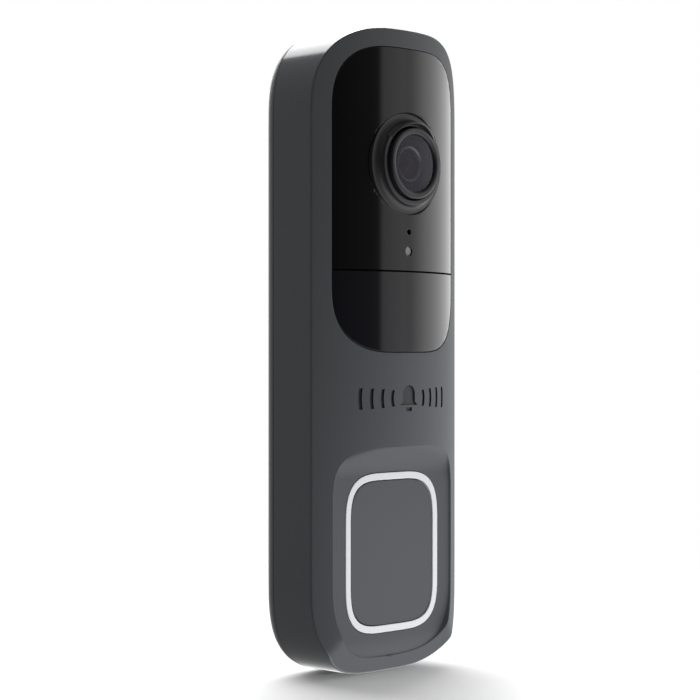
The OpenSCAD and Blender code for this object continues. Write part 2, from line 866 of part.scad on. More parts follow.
// A silicone ring behind the cap, round the switch
module button_seal() {
    color([0.75, 0.75, 0.72]) difference() {
        rod(6.4, dish_y + cap_t, stem_y + 0.5, 0, button_z);
        rod(4.7, -far, 0, 0, button_z);
    }
}

module main_board() {
    h = board_top - board_bottom;
    color("darkgreen") difference() {
        slab(board_w, h, 3, board_front_y, board_back_y, (board_top + board_bottom) / 2);
        for (at = standoff_places) rod(screw_r + 0.15, -far, 0, at[0], at[1]);
    }
}

module board_screws() {
    color("silver") for (at = standoff_places) {
        difference() {
            rod(board_screw_head_r, board_front_y - board_screw_head_t, board_front_y, at[0], at[1]);
            block([1.8, 0.8, 0.4], [at[0], board_front_y - board_screw_head_t, at[1]]);
            block([0.4, 0.8, 1.8], [at[0], board_front_y - board_screw_head_t, at[1]]);
        }
        rod(screw_r, board_front_y - 0.3, board_back_y + 3.6, at[0], at[1]);
    }
}

module processor() {
    color([0.1, 0.1, 0.1]) {
        block([11, 1.1, 11], [-5, board_front_y - 0.55, -12]);
        block([6, 0.9, 8], [7, board_front_y - 0.45, -14]);
        block([4, 0.8, 4], [7, board_front_y - 0.4, -4]);
        for (i = [0:3]) block([1, 0.5, 0.6], [-9 + 2.4 * i, board_front_y - 0.25, -3.5]);
    }
}

module shield_can() {
    can = [13, 3, 13];
    can_wall = 0.25;
    at = [-5, board_front_y - can[1] / 2, -12];
    color("silver") difference() {
        block(can, at);
        block([can[0] - 2 * can_wall, can[1], can[2] - 2 * can_wall], at + [0, can_wall, 0]);
    }
}

module radio_module() {
    module_y = board_back_y;
    color("silver") {
        block([14, 0.8, 19], [-3, module_y + 0.4, 45]);
        block([12, 1.8, 12], [-3, module_y + 1.5, 43]);
    }
}

speaker_socket_t = 1.6;
speaker_socket_x = 7.5;
speaker_socket_z = board_bottom + 1.8;
module board_connectors() {
    connector_t = 3.2;
    color("ivory") {
        block([7, connector_t, 4], [8, board_back_y + connector_t / 2, 49]);
        block([5, connector_t, 4], [-7, board_back_y + connector_t / 2, 15]);
        block([5, speaker_socket_t, 2.6],
            [speaker_socket_x, board_back_y + speaker_socket_t / 2, speaker_socket_z]);
        block([8, 0.8, 3], [-5, board_front_y - 0.4, lens_z - camera_board_w / 2 - 2]);
    }
}

module capacitors() {
    color("slategray") for (z = [36, 42]) rod(2.4, board_back_y, board_back_y + 4.6, 8.5, z);
    color([0.25, 0.25, 0.27]) block([5, 3, 5], [3.5, board_back_y + 1.5, 32]);
}

module battery_pack() {
    color([0.25, 0.45, 0.3]) slab(battery_w, battery_h, 2.6, battery_y - battery_t, battery_y, battery_z);
}

module battery_pad() {
    color([0.15, 0.15, 0.15]) block([battery_w - 4, battery_pad_t, battery_h - 8],
        [0, battery_y + battery_pad_t / 2, battery_z]);
}

module speaker_frame() {
    color([0.18, 0.18, 0.2]) difference() {
        block([speaker_w, speaker_d, speaker_h], [0, slot_y, speaker_z + speaker_h / 2]);
        block([speaker_w - 3, speaker_d - 1.6, 2 * 1.4], [0, slot_y, speaker_z]);
    }
}

module speaker_cone() {
    color([0.3, 0.3, 0.32]) block([speaker_w - 3.4, speaker_d - 2, 0.5], [0, slot_y, speaker_z + 1]);
}

module speaker_gasket() {
    color([0.1, 0.1, 0.1]) difference() {
        block([slot_w + 2, speaker_d, speaker_gasket_t], [0, slot_y, port_z + mesh_t + speaker_gasket_t / 2]);
        block([speaker_w - 3, speaker_d - 1.6, 3], [0, slot_y, port_z]);
    }
}

module speaker_mesh() {
    color("black") block([slot_w + 2, speaker_d, mesh_t], [0, slot_y, port_z + mesh_t / 2]);
}

terminal_x = block_w / 4;
module terminal_block() {
    color([0.1, 0.1, 0.1]) difference() {
        block([block_w, pocket_y - board_back_y, block_h], [0, (pocket_y + board_back_y) / 2, wire_z]);
        for (side = [-1, 1]) {
            rod(2.6, pocket_y - 2.4, 0, side * terminal_x, wire_z);
            rod(1.25, pocket_y - 5, 0, side * terminal_x, wire_z);
        }
    }
}

module terminal_screws() {
    color("silver") for (side = [-1, 1]) {
        difference() {
            rod(2.4, pocket_y - 1.5, pocket_y - 0.1, side * terminal_x, wire_z);
            block([5, 1, 0.7], [side * terminal_x, pocket_y - 0.1, wire_z]);
            block([0.7, 1, 3], [side * terminal_x, pocket_y - 0.1, wire_z]);
        }
        rod(1.2, pocket_y - 4.8, pocket_y - 1.5, side * terminal_x, wire_z);
    }
}

tamper_switch_y = board_back_y + switch_t;
module tamper_plunger() {
    color("white") {
        rod(tamper_r, tamper_switch_y + 0.4, -0.05, 0, control_z);
        rod(tamper_collar_r, tamper_collar_y - tamper_collar_t, tamper_collar_y, 0, control_z);
    }
}

module tamper_spring() {
    coil_r = 1.95;
    wire_d = 0.35;
    turns = 3;
    steps = 16;
    first_y = tamper_collar_y - tamper_collar_t - wire_d / 2 - 0.02;
    last_y = tamper_switch_y + wire_d / 2 + 0.02;
    color("silver") wire([for (i = [0:turns * steps]) let (a = 360 * i / steps)
        [coil_r * cos(a), first_y + (last_y - first_y) * i / (turns * steps), control_z + coil_r * sin(a)]],
        wire_d, 6);
}

module tamper_switch() {
    color("black") block([4.6, switch_t, 4.6], [0, board_back_y + switch_t / 2, control_z]);
}

module pairing_button() {
    color("gray") {
        rod(pairing_r, pairing_switch_y + pairing_travel + 0.1, pocket_y - 0.3, control_x, control_z);
        rod(pairing_r + 0.5, rear_inner_y - 1, rear_inner_y - seat, control_x, control_z);
    }
}

pairing_switch_y = board_back_y + switch_t;
module pairing_switch() {
    color("black") block([4.6, switch_t, 4.6], [control_x, board_back_y + switch_t / 2, control_z]);
}

module wifi_antenna() {
    color("goldenrod") block([20, 0.3, 5], [0, rear_inner_y - 0.15, body_h / 2 - wall - 4.6]);
}

// A round wire swept along a route of points, as one closed tube
module wire(route, d, sides = 8) {
    n = len(route);
    function along(i) = route[min(i + 1, n - 1)] - route[max(i - 1, 0)];
    function across(i) = let (t = along(i), u = cross(t, [1, 0.01, 0.02])) u / norm(u);
    function beside(i) = let (t = along(i), v = cross(t, across(i))) v / norm(v);
    rings = [for (i = [0:n - 1]) for (k = [0:sides - 1])
        route[i] + d / 2 * (cos(360 * k / sides) * across(i) + sin(360 * k / sides) * beside(i))];
    walls = [for (i = [0:n - 2]) for (k = [0:sides - 1])
        let (a = i * sides, b = a + sides, m = (k + 1) % sides)
        each [[a + k, b + k, b + m], [a + k, b + m, a + m]]];
    caps = [[for (k = [0:sides - 1]) k], [for (k = [sides - 1:-1:0]) (n - 1) * sides + k]];
    polyhedron(rings, concat(walls, caps), convexity = 4);
}

// Points of a smooth S from one place to another, which leaves and arrives along Z
function s_route(from, to, steps = 6) = [
    for (i = [0:steps]) let (s = i / steps, e = s * s * (3 - 2 * s))
        [from[0] + (to[0] - from[0]) * e, from[1] + (to[1] - from[1]) * e, from[2] + (to[2] - from[2]) * s]
];

// Gap left at the end of a lead, where it is soldered
lead_gap = 0.25;
module battery_leads() {
    lead_d = 1;
    for (side = [0, 1]) {
        x = -6.2 - 1.5 * side;
        color(side == 0 ? "red" : "black") wire(s_route([x, battery_y - battery_t / 2, battery_top + lead_gap],
            [x, board_back_y + 1.6, 13 - lead_gap]), lead_d);
    }
}

module speaker_leads() {
    lead_d = 0.9;
    for (side = [0, 1]) {
        x = speaker_socket_x - 0.75 + 1.5 * side;
        color(side == 0 ? "red" : "black") wire(s_route([x, slot_y, speaker_z + speaker_h + lead_gap],
            [x, board_back_y + speaker_socket_t / 2, speaker_socket_z - 1.3 - lead_gap]), lead_d);
    }
}

mounting_plate();
rear_housing();
front_housing();
perimeter_gasket();
housing_screws();
camera_window();
pir_window();
window_seal();
lens_bezel();
lens_ring();
lens_cover();
lens_barrel();
lens_inner_ring();
front_lens();
rear_lens();
camera_holder();
ir_cut_filter();
image_sensor();
camera_board();
camera_flex();
ir_board();
ir_leds();
ir_spacers();
mic_boot();
microphone();
light_pipe();
light_sensor();
pir_sensor();
pir_shroud();
button_cap();
light_ring();
led_board();
ring_leds();
button_switch();
switch_stem();
button_seal();
main_board();
board_screws();
processor();
shield_can();
radio_module();
board_connectors();
capacitors();
battery_pack();
battery_pad();
speaker_frame();
speaker_cone();
speaker_gasket();
speaker_mesh();
terminal_block();
terminal_screws();
tamper_plunger();
tamper_spring();
tamper_switch();
pairing_button();
pairing_switch();
wifi_antenna();
battery_leads();
speaker_leads();
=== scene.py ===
"""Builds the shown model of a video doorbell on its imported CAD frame, and the stage it is seen on."""

import math

import bmesh
import bpy
from mathutils import Matrix, Vector


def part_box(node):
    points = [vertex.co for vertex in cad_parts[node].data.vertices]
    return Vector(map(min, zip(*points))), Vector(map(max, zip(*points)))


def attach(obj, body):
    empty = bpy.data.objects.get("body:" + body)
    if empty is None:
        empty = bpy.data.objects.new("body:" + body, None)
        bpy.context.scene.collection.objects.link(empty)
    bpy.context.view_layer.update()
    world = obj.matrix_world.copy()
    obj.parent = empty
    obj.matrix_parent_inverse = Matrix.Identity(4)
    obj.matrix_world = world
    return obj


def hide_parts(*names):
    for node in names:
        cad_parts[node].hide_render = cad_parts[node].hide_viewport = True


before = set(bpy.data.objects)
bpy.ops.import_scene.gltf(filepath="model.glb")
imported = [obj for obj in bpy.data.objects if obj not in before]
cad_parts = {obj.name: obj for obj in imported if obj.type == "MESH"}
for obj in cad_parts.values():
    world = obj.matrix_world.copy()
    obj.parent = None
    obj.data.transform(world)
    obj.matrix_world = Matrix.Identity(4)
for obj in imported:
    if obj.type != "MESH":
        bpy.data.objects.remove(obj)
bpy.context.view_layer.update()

bl_info = {
    "name": "Video doorbell",
    "version": (1, 0, 0),
    "blender": (4, 5, 0),
    "location": "View3D > Sidebar > Doorbell",
    "description": "Builds a video doorbell from its CAD frame, piece by piece",
    "category": "Object",
}

MM = 0.001

# Sizes and places of the CAD's forms, in millimetres: body, window, dish, ring, cap, lens, mark,
# pocket of the wall plate, screw wells and holes on the wall side
BODY_W, BODY_H, CORNER_R, CORNER_POWER = 46.0, 140.0, 20.5, 2.85
BACK_Y, SEAM_Y = -1.2, -4.4
FRONT_Y = -22.997
BOW_R, BOW_AXIS_Y = 41.3, 18.303
CHIN_R, CHIN_AXIS_Y, CHIN_Z = 60.0, 36.703, -39.7
WALL = 2.4
WINDOW_W, WINDOW_TOP, WINDOW_BOTTOM, WINDOW_R = 38.1, 66.05, 0.0, 15.3
WINDOW_T, SPLIT_Z, SEAM_GAP = 1.3, 17.6, 0.15
DISH_W, DISH_TOP, DISH_BOTTOM = 37.6, -20.4, -66.5
DISH_R_TOP, DISH_R_BOTTOM, DISH_POWER = 12.7, 19.0, 3.2
DISH_Y, DISH_TOE_Y, DISH_RAMP, DISH_TOE, DISH_BACK_Y = -17.997, -16.83, 6.5, 4.6, -15.6
BUTTON_Z, RING_W, RING_H, RING_R, RING_POWER = -43.6, 29.3, 34.8, 11.8, 3.16
RING_BAND, RING_Y, RING_STEP_Y, RING_BACK_Y = 1.55, -18.15, -15.55, -14.75
RING_FLANGE, RING_SEAT, RING_SEAT_Y = 0.7, 0.3, -15.3
CAP_W, CAP_H, CAP_R, CAP_Y, CAP_STEP_Y, CAP_BACK_Y = 25.9, 31.4, 10.1, -18.0, -15.1, -14.42
CAP_FLANGE, CAP_WALL, CAP_FLOOR_Y = 0.75, 1.5, -16.2
LENS_Z, MIC_Z, LIGHT_Z = 41.0, 26.2, 22.0
MARK_Z, MARK_H, MARK_DEPTH, MARK_STROKE, BELL_R = -9.9, 5.6, 0.35, 0.8, 1.9
MARK_WAVES = (5.0, 7.7, 10.4, 13.1)
POCKET_W, POCKET_TOP, POCKET_BOTTOM, POCKET_R, POCKET_Y = 35.4, 61.2, -67.2, 15.7, -3.2
REAR_FLOOR_Y, REAR_LAP = -4.8, 0.15
WELL_X, WELL_Z, WELL_R, WELL_Y, SCREW_HOLE_R = 16.0, 60.5, 2.15, -4.5, 1.2
HOLE_TOP_Y, HOLE_END_Y = -3.0, -5.4
PLUNGER_HOLE_R, PAIRING_HOLE_R, PAIRING_X, SMALL_PARTS_Z = 1.55, 1.66, 8.5, 9.5
CORNER_STEPS = 26

# Slots of the CAD parts that are shown as they are
INNER = {
    "lens_glass": "rear_lens ir_cut_filter",
    "lens_black": "camera_holder pir_shroud speaker_frame",
    "bright_metal": "board_screws microphone pir_sensor shield_can radio_module capacitors tamper_spring",
    "led_yellow": "ring_leds",
    "board_green": "main_board camera_board ir_board led_board",
    "chip_black": "image_sensor button_switch processor tamper_switch pairing_switch",
    "connector_white": "ir_spacers light_sensor switch_stem board_connectors",
    "rubber_black": "perimeter_gasket window_seal mic_boot battery_pad speaker_cone speaker_gasket "
    "speaker_mesh",
    "silicone_grey": "button_seal",
    "copper_film": "camera_flex wifi_antenna",
    "battery_wrap": "battery_pack",
    "wire_red": "battery_leads speaker_leads",
    "clear_plastic": "ir_leds light_pipe",
}


# ---------------------------------------------------------------- outlines and surfaces


def outline(w, top, bottom, r_top, r_bottom, power, side_steps=1, end_steps=1):
    """Points of a rounded outline in the XZ plane, counter-clockwise from its right side."""
    corners = []
    for q in range(4):
        r = r_top if q < 2 else r_bottom
        cx = (w / 2 - r) * (1 if q in (0, 3) else -1)
        cz = top - r if q < 2 else bottom + r
        run = []
        for i in range(CORNER_STEPS + 1):
            a = math.pi / 2 * (q + i / CORNER_STEPS)
            c, s = math.cos(a), math.sin(a)
            if i == 0 or i == CORNER_STEPS:
                c, s = round(c), round(s)
            run.append((
                cx + r * math.copysign(abs(c) ** (2 / power), c),
                cz + r * math.copysign(abs(s) ** (2 / power), s),
            ))
        corners.append(run)
    points = []
    for q, run in enumerate(corners):
        points += run
        steps = end_steps if q % 2 == 0 else side_steps
        (x0, z0), (x1, z1) = run[-1], corners[(q + 1) % 4][0]
        if math.dist((x0, z0), (x1, z1)) > 0.05:
            points += [
                (x0 + (x1 - x0) * i / steps, z0 + (z1 - z0) * i / steps)
                for i in range(1, steps)
            ]
        else:
            points.pop()
    return points


def disc(r, x, z, steps=32):
    return [
        (x + r * math.cos(2 * math.pi * i / steps), z + r * math.sin(2 * math.pi * i / steps))
        for i in range(steps)
    ]


def offset(points, d):
    """The outline moved inwards by d."""
    out = []
    n = len(points)
    for i, (x, z) in enumerate(points):
        (x0, z0), (x1, z1) = points[i - 1], points[(i + 1) % n]
        a = Vector((x - x0, z - z0)).normalized()
        b = Vector((x1 - x, z1 - z)).normalized()
        na, nb = Vector((-a.y, a.x)), Vector((-b.y, b.x))
        m = (na + nb) / max(1 + na.dot(nb), 0.3)
        out.append((x + m.x * d, z + m.y * d))
    return out


def later(a, b, k):
    """The larger of two depths, blended over k."""
    h = max(k - abs(a - b), 0) / k
    return max(a, b) + h * h * k / 4


def bow(x, back=0.0):
    return BOW_AXIS_Y - math.sqrt((BOW_R - back) ** 2 - x * x)


def front(x, z):
    """Depth of the front of the body."""
    y = bow(x)
    if z < CHIN_Z:
        y = later(y, CHIN_AXIS_Y - math.sqrt(CHIN_R**2 - (CHIN_Z - z) ** 2), 0.5)
    return y


def dish(x, z):
    """Depth of the dish round the button."""
    up = min(max((z - DISH_TOP + DISH_RAMP) / DISH_RAMP, 0), 1)
    down = min(max((DISH_BOTTOM + DISH_TOE - z) / DISH_TOE, 0), 1)
    ramp = DISH_Y + (FRONT_Y - DISH_Y) * up * up
    toe = (DISH_TOE_Y - DISH_Y) * down * down
    return later(front(x, z) + 0.02, ramp + toe, 0.8)


def lay(points, depth):
    """The outline's points in space; depth is a number or a function of x and z."""
    if callable(depth):
        return [Vector((x, depth(x, z), z)) for x, z in points]
    return [Vector((x, depth, z)) for x, z in points]


# ---------------------------------------------------------------- mesh helpers


def new_mesh():
    """An empty mesh whose faces carry the number of the area they fill."""
    bm = bmesh.new()
    bm.faces.layers.int.new("area")
    return bm


def loop(bm, places):
    """A closed loop of vertices at these places."""
    made = bmesh.ops.create_circle(bm, cap_ends=False, segments=len(places), radius=1.0)["verts"]
    made = sorted(made, key=lambda v: math.atan2(v.co.y, v.co.x) % (2 * math.pi))
    for v, at in zip(made, places):
        v.co = at
    return made


def edges_of(bm, verts):
    return [bm.edges.get((v, verts[i - 1])) for i, v in enumerate(verts)]


def grow(bm, verts, places):
    """Extrudes a loop to these places and returns the new loop."""
    made = bmesh.ops.extrude_edge_only(bm, edges=edges_of(bm, verts))["geom"]
    fresh = {v for v in made if isinstance(v, bmesh.types.BMVert)}
    after = []
    for old, at in zip(verts, places):
        new = next(e.other_vert(old) for e in old.link_edges if e.other_vert(old) in fresh)
        new.co = at
        after.append(new)
    return after


def arc(verts, i, j):
    """The loop's vertices from index i forwards to index j."""
    run = [verts[i]]
    while i != j:
        i = (i + 1) % len(verts)
        run.append(verts[i])
    return run


def fill(bm, loops, depth=None, columns=(), rows=()):
    """Fills a loop, or the area between an outer loop and holes on the middle plane, cuts it at
    columns (x) and rows (z), and lays it on a surface."""
    halves = [loops[0]]
    if len(loops) > 1:
        left, right = [], []
        for n, verts in enumerate([loops[0]] + sorted(loops[1:], key=lambda run: run[0].co.z)):
            middle = [i for i, v in enumerate(verts) if abs(v.co.x) < 1e-4]
            top = max(middle, key=lambda i: verts[i].co.z)
            bottom = min(middle, key=lambda i: verts[i].co.z)
            if n == 0:
                left = arc(verts, top, bottom)
                outer = arc(verts, bottom, top)
            else:
                left += reversed(arc(verts, top, bottom))
                right = [*reversed(arc(verts, bottom, top)), *right]
        halves = [left, outer + right]
    fixed = {v for verts in loops for v in verts}
    faces = []
    for half in halves:
        edges = [
            bm.edges.get((v, half[i - 1])) or bm.edges.new((v, half[i - 1]))
            for i, v in enumerate(half)
        ]
        faces += bmesh.ops.edgeloop_fill(bm, edges=edges)["faces"]
    if len(faces) != len(halves):
        raise RuntimeError("an area could not be filled")
    mark = bm.faces.layers.int["area"]
    number = max(f[mark] for f in bm.faces) + 1
    for f in faces:
        f[mark] = number
    cuts = [(Vector((c, 0, 0)), Vector((1, 0, 0))) for c in columns]
    cuts += [(Vector((0, 0, c)), Vector((0, 0, 1))) for c in rows]
    for at, normal in cuts:
        geom = list({v for f in faces for v in f.verts}) + list({e for f in faces for e in f.edges})
        bmesh.ops.bisect_plane(bm, geom=geom + faces, dist=1e-5, plane_co=at, plane_no=normal)
        faces = [f for f in bm.faces if f[mark] == number]
    if cuts:
        for v in {v for f in faces for v in f.verts} - fixed:
            v.co.y = depth(v.co.x, v.co.z) if callable(depth) else depth


def turned(bm, profile, z, steps=96, angle=2 * math.pi, start=0.0):
    """Spins a closed or open profile of (radius, depth) points round the Y axis at height z."""
    verts = [bm.verts.new((r, y, z)) for r, y in profile]
    edges = [bm.edges.new((a, b)) for a, b in zip(verts, verts[1:])]
    if start:
        bmesh.ops.rotate(bm, verts=verts, cent=(0, 0, z), matrix=Matrix.Rotation(start, 3, "Y"))
    bmesh.ops.spin(
        bm, geom=verts + edges, cent=(0, 0, z), axis=(0, 1, 0), angle=angle, steps=steps,
        use_merge=angle > 6, use_duplicate=False,
    )
    bmesh.ops.remove_doubles(bm, verts=bm.verts[:], dist=1e-4)


def join(bm, other):
    """Adds another mesh to this one."""
    mesh = bpy.data.meshes.new("joined")
    other.to_mesh(mesh)
    other.free()
    bm.from_mesh(mesh)
    bpy.data.meshes.remove(mesh)


def span(low, high, step):
    n = max(1, round((high - low) / step))
    return [low + (high - low) * i / n for i in range(n + 1)]


def piece(name, bm, body, nodes, material, sharp=32.0, weighted=True):
    """Turns a mesh in millimetres into a piece that stands for these CAD nodes."""
    if not bm.faces:
        raise RuntimeError(f"{name} has no faces")
    bmesh.ops.recalc_face_normals(bm, faces=bm.faces[:])
    bmesh.ops.scale(bm, vec=(MM, MM, MM), verts=bm.verts[:])
    for f in bm.faces:
        f.smooth = True
    for e in bm.edges:
        e.smooth = len(e.link_faces) == 2 and e.calc_face_angle(0.0) < math.radians(sharp)
    mesh = bpy.data.meshes.new(name)
    bm.to_mesh(mesh)
    bm.free()
    made = bpy.data.objects.new(name, mesh)
    bpy.context.scene.collection.objects.link(made)
    for m in material if isinstance(material, (list, tuple)) else [material]:
        mesh.materials.append(m)
    if weighted:
        mod = made.modifiers.new("even_normals", "WEIGHTED_NORMAL")
        mod.keep_sharp = True
    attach(made, body)
    if nodes:
        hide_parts(*nodes)
    return made


def carve(made, bm):
    """Cuts a closed mesh in millimetres out of a piece."""
    bmesh.ops.recalc_face_normals(bm, faces=bm.faces[:])
    bmesh.ops.scale(bm, vec=(MM, MM, MM), verts=bm.verts[:])
    mesh = bpy.data.meshes.new("cutter")
    bm.to_mesh(mesh)
    bm.free()
    cutter = bpy.data.objects.new("cutter", mesh)
    bpy.context.scene.collection.objects.link(cutter)
    mod = made.modifiers.new("cut", "BOOLEAN")
    mod.operation = "DIFFERENCE"
    mod.solver = "EXACT"
    mod.object = cutter
    made.modifiers.move(len(made.modifiers) - 1, 0)
    others = [m for m in made.modifiers if m != mod]
    for m in others:
        m.show_viewport = False
    bpy.context.view_layer.update()
    graph = bpy.context.evaluated_depsgraph_get()
    before = made.data
    made.data = bpy.data.meshes.new_from_object(made.evaluated_get(graph))
    made.modifiers.remove(mod)
    for m in others:
        m.show_viewport = True
    bpy.data.meshes.remove(before)
    bpy.data.objects.remove(cutter)
    bpy.data.meshes.remove(mesh)

    # close the hairline gaps that the cut leaves
    clean = bmesh.new()
    clean.from_mesh(made.data)
    bmesh.ops.remove_doubles(clean, verts=clean.verts[:], dist=0.000004)
    bmesh.ops.dissolve_degenerate(clean, dist=0.000001, edges=clean.edges[:])
    bmesh.ops.holes_fill(clean, edges=[e for e in clean.edges if e.is_boundary])
    clean.to_mesh(made.data)
    clean.free()


# ---------------------------------------------------------------- materials


def shader(name):
    """A new material and its node tree, or the material alone where it already exists."""
    found = bpy.data.materials.get(name)
    if found:
        return found, None
    made = bpy.data.materials.new(name)
    made.use_nodes = True
    return made, made.node_tree


def speckle(tree, scale, detail=3.0, stretch=(1, 1, 1)):
    """A noise on object coordinates."""
    place = tree.nodes.new("ShaderNodeTexCoord")
    mapping = tree.nodes.new("ShaderNodeMapping")
    mapping.inputs["Scale"].default_value = stretch
    noise = tree.nodes.new("ShaderNodeTexNoise")
    noise.inputs["Scale"].default_value = scale
    noise.inputs["Detail"].default_value = detail
    tree.links.new(place.outputs["Object"], mapping.inputs["Vector"])
    tree.links.new(mapping.outputs["Vector"], noise.inputs["Vector"])
    return noise.outputs["Fac"]


def ramp(tree, source, stops):
    """A colour ramp over a value; stops are (position, colour)."""
    made = tree.nodes.new("ShaderNodeValToRGB")
    keys = made.color_ramp.elements
    while len(keys) > 1:
        keys.remove(keys[-1])
    keys[0].position, keys[0].color = stops[0][0], (*stops[0][1], 1)
    for at, colour in stops[1:]:
        keys.new(at).color = (*colour, 1)
    tree.links.new(source, made.inputs["Fac"])
    return made.outputs["Color"]


def scaled(tree, source, low, high, from_low=0.3, from_high=0.7):
    made = tree.nodes.new("ShaderNodeMapRange")
    made.inputs["From Min"].default_value = from_low
    made.inputs["From Max"].default_value = from_high
    made.inputs["To Min"].default_value = low
    made.inputs["To Max"].default_value = high
    tree.links.new(source, made.inputs["Value"])
    return made.outputs["Result"]


def blend(tree, share, a, b):
    """Mixes colour a towards b, which is a colour or a socket."""
    mix = tree.nodes.new("ShaderNodeMix")
    mix.data_type = "RGBA"
    tree.links.new(share, mix.inputs[0])
    tree.links.new(a, mix.inputs[6])
    if isinstance(b, tuple):
        mix.inputs[7].default_value = (*b, 1)
    else:
        tree.links.new(b, mix.inputs[7])
    return mix.outputs[2]


def bumped(tree, source, strength, distance, shade):
    made = tree.nodes.new("ShaderNodeBump")
    made.inputs["Strength"].default_value = strength
    made.inputs["Distance"].default_value = distance
    tree.links.new(source, made.inputs["Height"])
    tree.links.new(made.outputs["Normal"], shade.inputs["Normal"])


def tint(colour, f):
    return tuple(min(c * f, 1.0) for c in colour)


def moulded(name, colour, rough, spread=0.04, grain=2600.0, depth=0.15, vary=0.05, metallic=0.0,
            ior=1.5, stretch=(1, 1, 1)):
    """A moulded or machined surface: fine grain in the colour, the gloss and the relief."""
    made, tree = shader(name)
    if tree is None:
        return made
    shade = tree.nodes["Principled BSDF"]
    fine = speckle(tree, grain, stretch=stretch)
    broad = speckle(tree, 60.0, 2.0)
    tree.links.new(
        ramp(tree, fine, [(0.3, tint(colour, 1 - vary)), (0.7, tint(colour, 1 + vary))]),
        shade.inputs["Base Color"],
    )
    tree.links.new(scaled(tree, broad, rough - spread, rough + spread), shade.inputs["Roughness"])
    shade.inputs["Metallic"].default_value = metallic
    shade.inputs["IOR"].default_value = ior
    if depth:
        bumped(tree, fine, depth, 0.00004, shade)
    return made


def glowing(name, colour, strength):
    """A lit diffuser with faint cloudiness."""
    made, tree = shader(name)
    if tree is None:
        return made
    shade = tree.nodes["Principled BSDF"]
    cloud = speckle(tree, 900.0)
    tone = ramp(tree, cloud, [(0.3, tint(colour, 0.97)), (0.7, colour)])
    tree.links.new(tone, shade.inputs["Base Color"])
    tree.links.new(tone, shade.inputs["Emission Color"])
    shade.inputs["Emission Strength"].default_value = strength
    shade.inputs["Roughness"].default_value = 0.5
    return made


def glassy(name, colour, clear, rough=0.02, ior=1.5):
    """Thin clear glass: glossy by angle from outside, with a coloured coating, and clear from inside."""
    made, tree = shader(name)
    if tree is None:
        return made
    tree.nodes.remove(tree.nodes["Principled BSDF"])
    through = tree.nodes.new("ShaderNodeBsdfTransparent")
    gloss = tree.nodes.new("ShaderNodeBsdfGlossy")
    mix = tree.nodes.new("ShaderNodeMixShader")
    angle = tree.nodes.new("ShaderNodeFresnel")
    angle.inputs["IOR"].default_value = ior
    film = speckle(tree, 240.0, 1.0)
    tree.links.new(
        ramp(tree, film, [(0.3, tint(clear, 0.94)), (0.7, clear)]), through.inputs["Color"]
    )
    tree.links.new(
        ramp(tree, film, [(0.3, tint(colour, 0.9)), (0.7, colour)]), gloss.inputs["Color"]
    )
    gloss.inputs["Roughness"].default_value = rough
    facing = tree.nodes.new("ShaderNodeNewGeometry")
    outside = tree.nodes.new("ShaderNodeMath")
    outside.operation = "SUBTRACT"
    outside.use_clamp = True
    tree.links.new(angle.outputs["Fac"], outside.inputs[0])
    tree.links.new(facing.outputs["Backfacing"], outside.inputs[1])
    tree.links.new(outside.outputs["Value"], mix.inputs["Fac"])
    tree.links.new(through.outputs["BSDF"], mix.inputs[1])
    tree.links.new(gloss.outputs["BSDF"], mix.inputs[2])
    tree.links.new(mix.outputs["Shader"], tree.nodes["Material Output"].inputs["Surface"])
    return made


def board(name):
    """A green board: solder mask over copper tracks."""
    made, tree = shader(name)
    if tree is None:
        return made
    shade = tree.nodes["Principled BSDF"]
    place = tree.nodes.new("ShaderNodeTexCoord")
    bricks = tree.nodes.new("ShaderNodeTexVoronoi")
    bricks.distance = "MANHATTAN"
    bricks.feature = "DISTANCE_TO_EDGE"
    bricks.inputs["Scale"].default_value = 380.0
    tree.links.new(place.outputs["Object"], bricks.inputs["Vector"])
    tree.links.new(
        ramp(tree, bricks.outputs["Distance"],
             [(0.03, (0.09, 0.22, 0.08)), (0.06, (0.02, 0.10, 0.035)), (1.0, (0.015, 0.08, 0.03))]),
        shade.inputs["Base Color"],
    )
    shade.inputs["Roughness"].default_value = 0.35
    bumped(tree, bricks.outputs["Distance"], 0.2, 0.00005, shade)
    return made


def window_black(name, colour, rough):
    """Glossy black window: very smooth, with the faintest ripple."""
    made, tree = shader(name)
    if tree is None:
        return made
    shade = tree.nodes["Principled BSDF"]
    cloud = speckle(tree, 140.0, 2.0)
    tree.links.new(
        ramp(tree, cloud, [(0.3, tint(colour, 0.85)), (0.7, tint(colour, 1.15))]),
        shade.inputs["Base Color"],
    )
    tree.links.new(scaled(tree, cloud, rough * 0.9, rough * 1.1), shade.inputs["Roughness"])
    shade.inputs["IOR"].default_value = 1.5
    bumped(tree, cloud, 0.02, 0.00002, shade)
    return made


